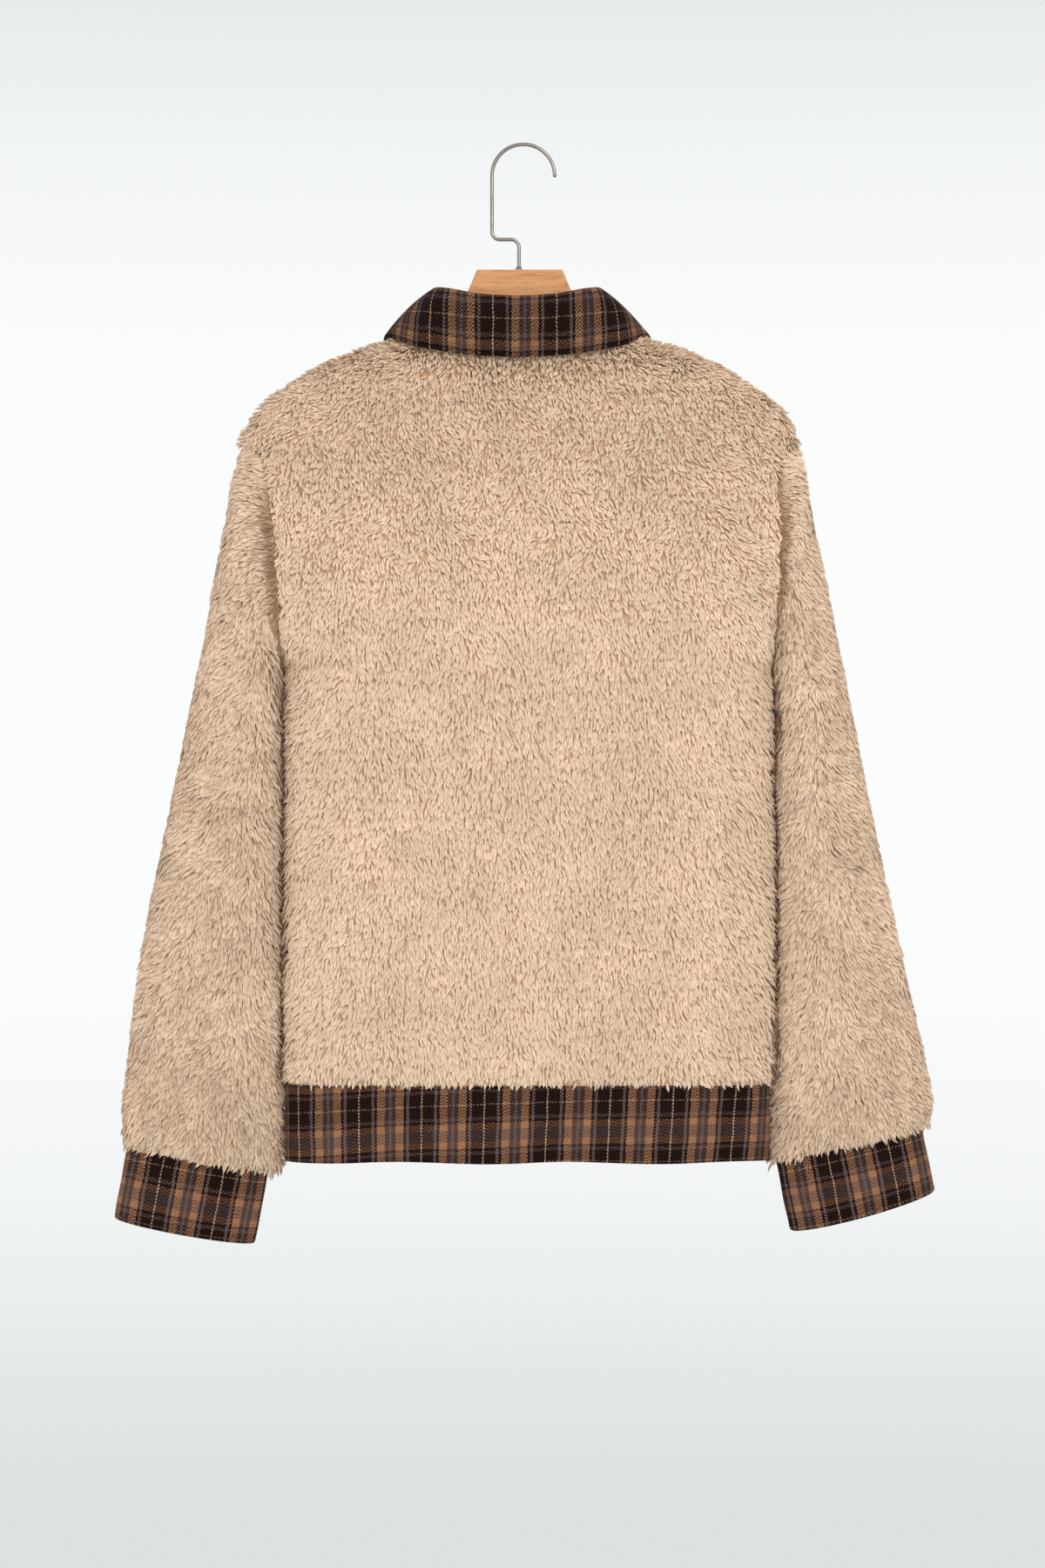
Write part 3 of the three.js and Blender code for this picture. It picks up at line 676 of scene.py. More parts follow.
def armhole_ring(name, turns, inset):
    """The sleeve's first ring, along the armhole and a seam's gap outside the panels' edges."""
    side = SIDES[name]
    m = turns * 2 * ARM_STEPS
    on_back = m <= ARM_STEPS
    row = np.where(on_back, m, 2 * ARM_STEPS - m)

    def rim(depth):
        back, front = (panel_points(face, side, row, depth) for face in ("back", "front"))
        return np.where(on_back[:, None], back, front).T

    x, (_, y, z) = rim(0)[0], rim(inset)
    over = np.maximum(0, np.cos(arm_angle(row)))
    return np.stack([x + side * SEAM * (1 + over), y, z - SEAM * over], -1)


def section_ring(name, row, turns, inset, grow=0):
    """A flattened ring across the sleeve, from its outer end round the back."""
    side = SIDES[name]
    inner = np.array([side * row["in_x"], row["shift"], row["in_z"]])
    outer = np.array([side * row["out_x"], row["shift"], row["out_z"]])
    half = np.linalg.norm(outer - inner) / 2 + grow - inset
    deep = row["depth"] + grow - inset
    way = unit(outer - inner)
    down = side * np.array([way[2], 0, -way[0]])
    bend = np.sin(2 * np.pi * turns)
    y = -np.sign(bend) * deep * np.abs(bend) ** TUBE_POWER
    ring = (inner + outer) / 2 + half * np.cos(2 * np.pi * turns)[:, None] * way
    ring = ring + (row.get("belly", 0) * np.maximum(0, bend))[:, None] * down
    ring[:, 1] += y
    return ring


def table_rows(rows):
    """A table's rows, each as a dictionary."""
    return [dict(zip(rows, numbers)) for numbers in zip(*rows.values())]


def sleeve_end(name):
    """The cuff's upper section, moved up its own axis by the seam's gap."""
    top = table_rows(CUFFS[name])[0]
    length = np.hypot(top["out_x"] - top["in_x"], top["out_z"] - top["in_z"])
    up_x = -(top["out_z"] - top["in_z"]) / length * SEAM
    up_z = (top["out_x"] - top["in_x"]) / length * SEAM
    moved = {"in_x": up_x, "out_x": up_x, "in_z": up_z, "out_z": up_z}
    return {key: value + moved.get(key, 0) for key, value in top.items()}


def sleeve_grid(name, around, down, inset):
    """Rings from the armhole to the cuff, joined by a smooth cubic down the sleeve and creased."""
    turns = np.arange(around) / around
    rings = [armhole_ring(name, turns, inset)]
    rings += [section_ring(name, row, turns, inset) for row in table_rows(SLEEVES[name])]
    rings.append(section_ring(name, sleeve_end(name), turns, inset, SLEEVE_OVER_CUFF))
    rings = np.array(rings)
    steps = np.linalg.norm(np.diff(rings, axis=0), axis=-1).mean(axis=1)
    keys = np.concatenate([[0], np.cumsum(steps)])
    grid = smooth_join(keys, rings, np.linspace(0, keys[-1], down))
    normal, x, z = surface_ways(grid, True)["normal"], grid[..., 0], grid[..., 2]
    hollow = crease_depth(CREASES[name], x, z)
    sag = 0.7 * ripple(x, z, 90, 31) + 0.5 * ripple(x, z, 45, 32)
    facing = past(np.abs(normal[..., 1]), 0.1, 0.5)
    hold = ease(np.linspace(0, keys[-1], down) / 20)[:, None]
    return grid - normal * (facing * hold * (hollow - sag))[..., None]


def armhole_lap(name, grid, skin):
    """A sleeve backing's grid with two more rings, which reach below the panels' backing."""
    side = SIDES[name]
    ring = armhole_ring(name, np.arange(grid.shape[1]) / grid.shape[1], SLEEVE_LAP[skin])
    outwards = np.array([side, 0, 0])
    rings = [ring - SLEEVE_LAP["reach"] * outwards, ring + SLEEVE_LAP[f"{skin}_turn"] * outwards]
    return np.concatenate([rings, grid])


def cuff_grid(name, around, down):
    """A cuff's face: rings by its table, puckered at the seam, and a lap over the backing."""
    turns = np.arange(around) / around
    rings = np.array([section_ring(name, row, turns, 0) for row in table_rows(CUFFS[name])])
    run = np.linspace(0, 1, down)
    grid = smooth_join(np.array([0.0, 0.5, 1.0]), rings, run)
    normal, x, z, run = surface_ways(grid, True)["normal"], grid[..., 0], grid[..., 2], run[:, None]
    pucker = 0.55 * ripple(x, z * 0.3, 26, 41) * (1 - run) ** 1.5
    swell = 0.7 * ripple(x, z, 60, 42) * run
    grid = grid + normal * (pucker + swell)[..., None]
    lap = grid[0] + unit(grid[0] - grid[1]) * TRIM_LAP + normal[0] * 0.3
    return np.concatenate([lap[None], grid])


def cuff_cloth(name, grid):
    """A cuff's cloth coordinates, towards +X from the middle of its back and down from its seam."""
    run = run_round(grid[2])
    down = np.concatenate([[-TRIM_LAP], np.linspace(0, CUFF_DEPTH, len(grid) - 1)])
    return SIDES[name] * (run[grid.shape[1] // 4] - run), down


# ---------------------------------------------------------------- hem band


def band_grid(around, down):
    """The band's face: level rings of the body's section, drawn in a little at the seam."""
    body = {key: float(value[0]) for key, value in BODY.items()}

    def ring_line(share):
        return np.stack([share * body["half"], body["back"] * flat_round(share)], -1)

    half = evenly(ring_line, -1, 1, around // 2 + 1)
    share = np.concatenate([half, half[1:-1][::-1]])
    front = np.arange(len(share)) > around // 2
    run = np.linspace(0, 1, down)[:, None]
    draw_in = 0.2 + 0.8 * (1 - run) ** 3 + 0.2 * run ** 2
    depth, side = np.where(front, body["front"], body["back"]) - draw_in, np.where(front, 1, -1)
    x = body["middle"] + share * (body["half"] - draw_in)
    y = side * depth * flat_round(share)
    z = mix(Z_HEM_SEAM + TRIM_LAP, Z_HEM_EDGE, run)
    z = z + HEM_RIPPLE * np.sin(9 * share + 2 * front) * run ** 2
    wave = 0.9 * ripple(x, z * 0.25 + 400 * front, 70, 51) * run
    wave += 0.45 * ripple(x, z * 0.3 + 900 * front, 24, 52) * (1 - 0.6 * run)
    return np.stack([x, y + side * flat_round(share, 8) * wave, z], -1), share


def band_cloth(grid, share):
    """The hem band's cloth coordinates, from the middle of its back and from its seam.

    Its warps lean more the further they are towards +X, and its wefts bow and rise that way.
    """
    run, half = run_round(grid[2]), grid.shape[1] // 2
    along = run - np.interp(0, grid[2, :half, 0], run[:half])
    down = Z_HEM_SEAM - grid[:, :1, 2].mean(axis=1, keepdims=True)
    share = np.append(share, share[0])
    return along + (0.035 + 0.06 * share) * (down - 10), down + 6.3 * share - 4 * share ** 2


# ---------------------------------------------------------------- collar


def collar_points(part, station):
    """A named line of the collar's table, at stations on both sides of the centre line."""
    along, side = np.abs(station), np.where(station < 0, -1, 1)
    x, y, z = (look(COLLAR, "along", part + axis, along) for axis in ("_x", "_y", "_z"))
    return np.stack([COLLAR_MIDDLE + side * x, y, z], -1)


def neck_points(station):
    """The neck seam at a station, taken from the panels' own upper points."""
    along, side = np.abs(station), np.where(station < 0, -1, 1)
    step = np.where(along <= 0.5, 2 * along, 2 - 2 * along)
    share = side * NECK_SHARE * np.sin(0.5 * np.pi * step) * (1 - 1e-7)
    back = panel_points("back", share, 0.0, 0)
    front = panel_points("front", share, 0.0, 0)
    points = np.where((along <= 0.5)[..., None], back, front)
    end = ease((along - 0.97) / 0.03)
    points[..., 0] += side * FRONT_APART * end
    points[..., 2] += 2 * FRONT_APART * end
    return points


def leaf_points(station, down):
    """The leaf's face: a quadratic curve from the roll line by the bend to the free edge."""
    roll, edge = collar_points("roll", station), collar_points("edge", station)
    out = look(COLLAR, "along", "round_out", np.abs(station))[..., None]
    low = look(COLLAR, "along", "round_down", np.abs(station))[..., None]
    bend = mix(roll, edge, np.concatenate([out, out, low], -1))
    down = down[..., None]
    return roll * (1 - down) ** 2 + bend * 2 * (1 - down) * down + edge * down ** 2


def inward_way(station):
    """The level direction from the collar into the neck, with its depth counted three times."""
    return -unit((neck_points(station) - [COLLAR_MIDDLE, 0, 0]) * [1, 3, 0])


def collar_stations(count):
    """Stations from one centre front round the back to the other, even along the free edge."""
    def edge(station):
        return collar_points("edge", station)

    half = evenly(edge, 0, 1, count)
    return np.concatenate([-half[1:][::-1], half])


def leaf_run(down):
    """How far down the leaf at the centre back each of its places lies from the roll line."""
    return run_along(leaf_points(np.zeros_like(down), down))


def row_runs(grid):
    """How far along its own row each point of a grid lies from the middle of that row."""
    steps = np.linalg.norm(np.diff(grid, axis=1, prepend=grid[:, :1]), axis=-1)
    run = np.cumsum(steps, axis=1)
    return run - run[:, run.shape[1] // 2, None]


def leaf_normals(stations, down):
    """Normals of the leaf's face, from differences both ways."""
    small = 0.01
    station, place = np.meshgrid(stations, down)
    first, second = np.clip(station - small, -1, 1), np.clip(station + small, -1, 1)
    across = leaf_points(station, place + small) - leaf_points(station, place - small)
    along = leaf_points(second, place) - leaf_points(first, place)
    return unit(np.cross(across, along))


def leaf_grid(count, steps):
    """The leaf's face from inside the neck, over the stand's top, to its free edge.

    The fold is a quarter of an ellipse inwards from the roll line, and a straight tail below it.
    The face dips along the stitching by its edge, and bulges a little between.
    """
    stations = collar_stations(count)
    roll, inward, up = collar_points("roll", stations), inward_way(stations), np.array([0, 0, 1])
    turn = np.linspace(0.5 * np.pi, 0, 9)[:-1, None, None]
    fold = roll + inward * ROLL_OVER["inward"] * np.sin(turn)
    fold = fold - up * ROLL_OVER["down"] * (1 - np.cos(turn))
    fold_run = np.linspace(ROLL_OVER["cloth"], 0, 9)[:-1]
    tail_run = ROLL_OVER["tail"] * np.linspace(1, 0, 4)[:-1]
    tail = fold[0] - up * tail_run[:, None, None]
    down = evenly(lambda t: leaf_points(np.zeros_like(t), t), 0, 1, steps)
    station, place = np.meshgrid(stations, down)
    leaf = leaf_points(station, place)
    length = np.linalg.norm(np.diff(leaf, axis=0), axis=-1).sum(axis=0)
    above_edge = (1 - place) * length
    dent = 0.45 * np.exp(-((above_edge - EDGE_STITCH["up"]) / 0.9) ** 2)
    swell = 0.5 * ripple(station * 300, place * 30, 60, 61) * ease(place * 3) * ease(above_edge / 8)
    leaf = leaf + leaf_normals(stations, down) * (swell - dent)[..., None]
    grid = np.concatenate([tail, fold, leaf])
    run = np.concatenate([-tail_run - ROLL_OVER["cloth"], -fold_run, leaf_run(down)])
    return grid, row_runs(grid), run


def under_grid(count, steps):
    """The under collar: the leaf's face sunk by its ply and a gap, and a little longer."""
    stations = collar_stations(count)
    length = np.linalg.norm(collar_points("roll", 0.0) - collar_points("edge", 0.0))
    down = np.linspace(UNDER_STARTS, 1 + UNDER_EDGE_SHOWS / length, steps)
    station, place = np.meshgrid(stations, down)
    grid = leaf_points(station, place) - leaf_normals(stations, down) * (COLLAR_PLY + SEAM)
    return grid, row_runs(grid), leaf_run(down)


def stand_grid(count, steps):
    """The stand: straight from the neck seam up to just below the roll line."""
    stations = collar_stations(count)
    inward, up = inward_way(stations), np.array([0, 0, 1])
    foot = neck_points(stations) + inward * STAND_FOOT_INWARD + up * 2 * SEAM
    top = collar_points("roll", stations) + inward * STAND_TOP["inward"] - up * STAND_TOP["down"]
    grid = mix(top, foot, np.linspace(0, 1, steps)[:, None, None])
    return grid, row_runs(grid), np.linspace(0, STAND_WIDTH, steps)


# ---------------------------------------------------------------- stitches


def triangles(*corners):
    """Triangles from three corners' numbers, any of which may be one for all."""
    return np.stack(np.broadcast_arrays(*corners), -1)


def facing_out(points, faces):
    """Points and faces of a closed mesh, with its faces turned outwards."""
    return points, faces if outward(points, faces) else faces[:, ::-1]


def spindles(centres, ways, normals, length, radius):
    """Closed capsules of five sides: rings at four places along each, and a point at each end."""
    side = np.cross(ways, normals)
    turn = np.arange(5) / 5 * 2 * np.pi
    spoke = normals[:, None] * np.cos(turn)[:, None] + side[:, None] * np.sin(turn)[:, None]
    rings = [centres[:, None] + ways[:, None] * place * length + spoke * radius * size
             for place, size in ((-0.42, 0.7), (-0.2, 1), (0.2, 1), (0.42, 0.7))]
    ends = [(centres + ways * place * length)[:, None] for place in (-0.5, 0.5)]
    points = np.concatenate(rings + ends, axis=1)
    first_end, last_end = 20, 21
    k, after = np.arange(5), (np.arange(5) + 1) % 5
    faces = [triangles(first_end, after, k), triangles(last_end, 15 + k, 15 + after)]
    for low, high in ((0, 5), (5, 10), (10, 15)):
        faces += [triangles(low + k, low + after, high + after),
                  triangles(low + k, high + after, high + k)]
    every = np.concatenate(faces) + points.shape[1] * np.arange(len(centres))[:, None, None]
    return facing_out(points.reshape(-1, 3), every.reshape(-1, 3))


def stitch_row(line, normals):
    """Stitches set one after another along a line of points, each lying on the cloth."""
    run, length = run_along(line), EDGE_STITCH["length"]
    pitch = length + EDGE_STITCH["gap"]
    at = np.arange(pitch, run[-1] - pitch, pitch)

    def spot(values, place):
        return np.stack([np.interp(place, run, values[:, axis]) for axis in range(3)], -1)

    ways = unit(spot(line, at + 1) - spot(line, at - 1))
    facing = square_to(unit(spot(normals, at)), ways)
    centres = spot(line, at) + facing * EDGE_STITCH["lift"]
    return spindles(centres, ways, facing, length, EDGE_STITCH["radius"])


# ---------------------------------------------------------------- hanger metal


def wire_route():
    """The hook's centre line: stem, sideways jog, long straight side and half a circle."""
    w = WIRE
    r, big = w["jog_radius"], w["loop_radius"]
    loop_z = w["radius"] - big
    turn = np.linspace(0, 0.5 * np.pi, 14)[:, None]

    def line(first, last, count):
        return np.linspace(first, last, count + 1)[:-1]

    def corner(centre, start, finish):
        return np.array(centre) + np.array(start) * np.cos(turn) + np.array(finish) * np.sin(turn)

    foot = (w["stem_x"], WOOD_TOP - STEM_DEPTH + 2)
    jog_z = w["jog_z"]
    parts = [    # the straights keep a little clear of the corners' ends
        line(foot, (w["stem_x"], jog_z - r), 24),
        corner((w["stem_x"] - r, jog_z - r), (r, 0), (0, r)),
        line((w["stem_x"] - r - 0.8, jog_z), (-big + r + 0.8, jog_z), 3),
        corner((-big + r, jog_z + r), (0, -r), (-r, 0)),
        line((-big, jog_z + r + 1.2), (-big, loop_z - 1.2), 30),
    ]
    half = np.linspace(np.pi, 0, 60)
    parts.append(np.array([0, loop_z]) + big * np.stack([np.cos(half), np.sin(half)], -1))
    flat = np.concatenate(parts)
    return np.stack([flat[:, 0], np.zeros(len(flat)), flat[:, 1]], -1)


def tube(path, radius, sides):
    """A round tube along a path in the XZ plane, with a dome at each end."""
    way = unit(np.gradient(path, axis=0))
    across = np.stack([way[:, 2], np.zeros(len(way)), -way[:, 0]], -1)
    dome = np.radians([75, 50, 25])
    first = path[0] - way[0] * radius * np.sin(dome)[:, None]
    last = path[-1] + way[-1] * radius * np.sin(dome[::-1])[:, None]
    centre = np.concatenate([first, path, last])
    size = radius * np.concatenate([np.cos(dome), np.ones(len(path)), np.cos(dome[::-1])])
    across = np.concatenate([np.repeat(across[:1], 3, 0), across, np.repeat(across[-1:], 3, 0)])
    turn = np.arange(sides) / sides * 2 * np.pi
    spoke = across[:, None] * np.cos(turn)[:, None] + np.array([0, 1, 0]) * np.sin(turn)[:, None]
    rings = centre[:, None] + spoke * size[:, None, None]
    poles = np.array([path[0] - way[0] * radius, path[-1] + way[-1] * radius])
    points = np.concatenate([rings.reshape(-1, 3), poles])
    skin, pole = quads(len(centre), sides, False, True), len(points) - 2
    end = pole - sides
    j, k = np.arange(sides), (np.arange(sides) + 1) % sides
    fans = [triangles(pole, k, j), triangles(pole + 1, end + j, end + k)]
    return facing_out(points, np.concatenate([skin[:, [0, 1, 2]], skin[:, [0, 2, 3]], *fans]))


def lathe(profile, centre, sides):
    """A closed profile of (radius, height) points turned round an upright axis."""
    turn = np.arange(sides) / sides * 2 * np.pi
    r, h = np.array(profile, float).T
    rings = np.stack([r[None] * np.cos(turn)[:, None], r[None] * np.sin(turn)[:, None],
                      np.broadcast_to(h, (sides, len(h)))], -1)
    return facing_out(rings.reshape(-1, 3) + np.array(centre), quads(sides, len(h), True, True))


def rounded(corners, radius, steps=4):
    """A closed profile with each corner turned into an arc by a quadratic curve."""
    corners = np.array(corners, float)
    before, after = np.roll(corners, 1, 0), np.roll(corners, -1, 0)
    t = np.linspace(0, 1, steps + 1)[None, :, None]
    first = corners + unit(before - corners) * radius
    last = corners + unit(after - corners) * radius
    arcs = (first[:, None] * (1 - t) ** 2 + corners[:, None] * 2 * t * (1 - t)
            + last[:, None] * t ** 2)
    return arcs.reshape(-1, 2)


# ---------------------------------------------------------------- pile


def turned_away(normal):
    """How far a surface faces sideways: from its rounded edge on, and in the slit beyond it."""
    return (past(np.abs(normal[..., 0]), low, 1 - low) for low in (0.45, 0.75))


def panel_nap(face, grid, normal):
    """How the pile of the back or front lies, at each place of its grid.

    lean is how far the nap turns towards +X from straight down, in degrees: outwards along the
    shoulders and by the side edges, and wandering, most between the shoulder blades. boost is how
    much higher the pile stands, curl how curly it is, long how long its locks are, crowd how close
    they grow, shade the painted shade in the slit beside a sleeve, the painted shadow below the
    collar's edge and a little painted shade over the upper panel for the dark gaps of its curlier
    pile, and fleck how dark its darkest locks are, painted shade on the upper panel for the
    shadowed gaps between locks. The back's pile stands up in a ridge along the shoulder seam, most
    at the collar's corners, and in a tuck below the collar's edge.
    """
    x, z, on_back = grid[..., 0], grid[..., 2], face == "back"
    side, out = np.sign(x), np.abs(x)
    drop = look(SHOULDER, "out", "z", out) - z
    place = x if on_back else x + 900
    curl, seam, upper_shade = past(z, *CURLED), 1 - ease(drop / 30), past(z, *UPPER_SHADE_FROM)
    wander = mix(10, 24, curl) * ripple(place, z, 75, 11)
    wander = wander + mix(11, 26, curl) * ripple(place, z, 24, 13)
    lean = 24 * side * past(out, 95, 95) + wander
    lean = lean + side * past(out, 55, 50) * (30 * (1 - ease(drop / 85)) + 42 * seam)
    edge, slit = turned_away(normal)
    corner = 1.1 * np.exp(-((out - 106) / 24) ** 2)
    below_leaf = z + 182 - 18 * ((x - COLLAR_MIDDLE) / 105) ** 2
    tuck = on_back * 1.3 * np.exp(-(below_leaf / 12) ** 2) * (1 - past(out, 80, 25))
    ridge = seam * past(out, 60, 25) * (0.5 + corner if on_back else -0.8)
    # Painted shade in the slit beside a sleeve, lighter above the underarm.
    slit_shade = DEEP_SHADE * slit * mix(1, 0.25, past(z, -290, 50))
    # Painted shadow in a band just below the collar leaf's edge, on the back.
    leaf_shadow = on_back * 0.3 * np.exp(-(below_leaf / 4) ** 2) * (1 - past(out, 95, 12))
    # Painted shade: a little over the upper panel, for the dark gaps of its curlier pile.
    shade = np.maximum.reduce([slit_shade, leaf_shadow, 0.1 * upper_shade])
    curl, flat = curl * (1 - 0.7 * seam), 0.2 * (1 - curl) * on_back
    return {"lean": lean, "curl": curl, "boost": 1 - flat + EDGE_RISE * edge + ridge + tuck,
            "long": mix(1, CURLED_LENGTH, curl) - 0.6 * flat, "crowd": 1 + 1.3 * seam,
            "shade": shade, "fleck": 0.12 * upper_shade}


def sleeve_nap(name, turns, grid, normal):
    """How the pile of a sleeve lies, at each place of its grid, as for a panel.

    The nap parts along a line down the sleeve and lies away from it on both sides. lean is measured
    towards the sleeve's inner end round the back. The pile stands a little lower just beyond the
    outer edge. Painted shade darkens it in the slit beside the body, in the groove of the armhole's
    seam, a little all over and more towards the cuff, and in soft clumps, and its flecked locks are
    painted shade for the shadowed gaps between locks.
    """
    x, z = grid[..., 0], grid[..., 2]
    place, facing = np.cos(2 * np.pi * turns), np.sin(2 * np.pi * turns)
    away = 36 * np.tanh(1.6 * (place - PARTING[name]))
    lean = -away * np.sign(facing) * np.sqrt(np.abs(facing))
    lean = lean + 15 * ripple(x, z, 60, 21) + 14 * ripple(x, z, 22, 22)
    towards_body = np.sign(normal[..., 0]) != np.sign(x)
    inner, slit = (value * towards_body for value in turned_away(normal))
    beyond = np.exp(-((normal[..., 1] - 0.3) / 0.3) ** 2) * (1 - inner)
    by_hem = short_of(z, -755, 25)
    below_arm, above_arm = short_of(z, Z_UNDERARM + 20, 60), past(z, Z_UNDERARM - 30, 40)
    # Painted shade in the slit beside the body, less by the hem.
    sleeve_slit_shade = DEEP_SHADE * slit * below_arm * (1 - 0.75 * by_hem)
    seam = np.abs(x - look(BODY, "z", "middle", z)) - look(BODY, "z", "half", z)
    # Painted shade in the groove along the armhole's seam, above the underarm.
    groove = DEEP_SHADE * np.exp(-(seam / 6) ** 2) * short_of(z, -262, 50) * above_arm
    # Painted shade: a little all over, more towards the cuff, in soft patches and small clumps.
    soft = 0.08 + 0.06 * short_of(z, -700, 90) + 0.05 * ripple(x, z * 0.5, 50, 23)
    clumps = 0.08 * np.maximum(ripple(x, z * 0.7, 9, 24), 0)
    clumps = clumps + 0.08 * np.maximum(ripple(x, z, 26, 25), 0)
    curl = 0.3 * past(z, *CURLED)
    return {"lean": lean, "curl": curl, "long": mix(1, CURLED_LENGTH, curl),
            "crowd": np.ones_like(x), "fleck": np.full_like(x, 0.36),
            "boost": 1 + inner * (EDGE_RISE + by_hem) - 0.4 * beyond,
            "shade": np.maximum.reduce([sleeve_slit_shade, groove, soft + clumps - 0.06])}


def lock_roots(grid, ways, nap, around, count, rng, front_share):
    """Even places on a grid for the locks to grow from, with their directions and their nap.

    A plastic-number sequence spreads points evenly over rows and columns, a little jittered. They
    are thinned by chance where cells are small or uncrowded, or face the front, and those less than
    most of a lock above the lower edge are dropped.
    """
    scalars = {**nap, "above": rise_from_edge(grid)}
    fields = {**ways, **{key: value[..., None] for key, value in scalars.items()}, "points": grid}
    if around:
        fields = {key: np.concatenate([value, value[:, :1]], 1) for key, value in fields.items()}
    grid = fields["points"]
    rows, columns = grid.shape[0] - 1, grid.shape[1] - 1
    a = grid[1:, 1:] - grid[:-1, :-1]
    b = grid[1:, :-1] - grid[:-1, 1:]
    area = np.linalg.norm(np.cross(a, b), axis=-1) / 2
    share = mix(front_share, 1, ease(0.5 - fields["normal"][:-1, :-1, 1] / 0.6))
    weight = area * share * fields["crowd"][:-1, :-1, 0]
    chance = np.minimum(weight / np.quantile(weight, 0.985), 1)
    total = int(count / chance.mean() * 0.995)
    u, v = ((0.5 + np.arange(total) * step + rng.normal(0, 0.28, total) / np.sqrt(total)) % 1
            for step in EVEN_STEPS)
    r, c = v * rows, u * columns
    i, j = r.astype(int), c.astype(int)
    kept = rng.random(total) < chance[i, j]
    r, c, i, j = r[kept], c[kept], i[kept], j[kept]
    s, t = (r - i)[:, None], (c - j)[:, None]

    def read(values):
        upper = values[i, j] * (1 - t) + values[i, j + 1] * t
        lower = values[i + 1, j] * (1 - t) + values[i + 1, j + 1] * t
        return upper * (1 - s) + lower * s

    roots = {key: read(value) for key, value in fields.items()}
    roots["normal"] = unit(roots["normal"])
    roots["down"] = square_to(roots["down"], roots["normal"])
    roots["side"] = square_to(square_to(roots["side"], roots["normal"]), roots["down"])
    kept = roots["above"][:, 0] > rng.uniform(6, 11.5, len(r))
    return {key: value[kept] for key, value in roots.items()}


def lock_faces(pairs):
    """A lock's triangles, upper ones first. Corner 0 is its root, then come pairs and the tip."""
    tip = 2 * pairs + 1
    faces = [[0, 2, 1]]
    for left in range(1, tip - 2, 2):
        faces += [[left, left + 1, left + 3], [left, left + 3, left + 2]]
    faces.append([tip - 2, tip - 1, tip])
    rim = [*range(1, tip, 2), tip, *range(tip - 1, 1, -2)]
    return np.array(faces + [[0, here, then] for here, then in zip(rim, rim[1:])])


def clump_of(points, size):
    """The number of the clump that each lock is in: the cells of a cube grid, a little warped."""
    warp = ripple(points[:, :1] + points[:, 1:2], points[:, 2:], 16, 71) * 0.35
    cell = np.floor(points / size * [1, 1, 0.8] + warp * [1, 0, -1]).astype(np.int64)
    return np.unique((cell * CELL_KEYS).sum(-1), return_inverse=True)[1]


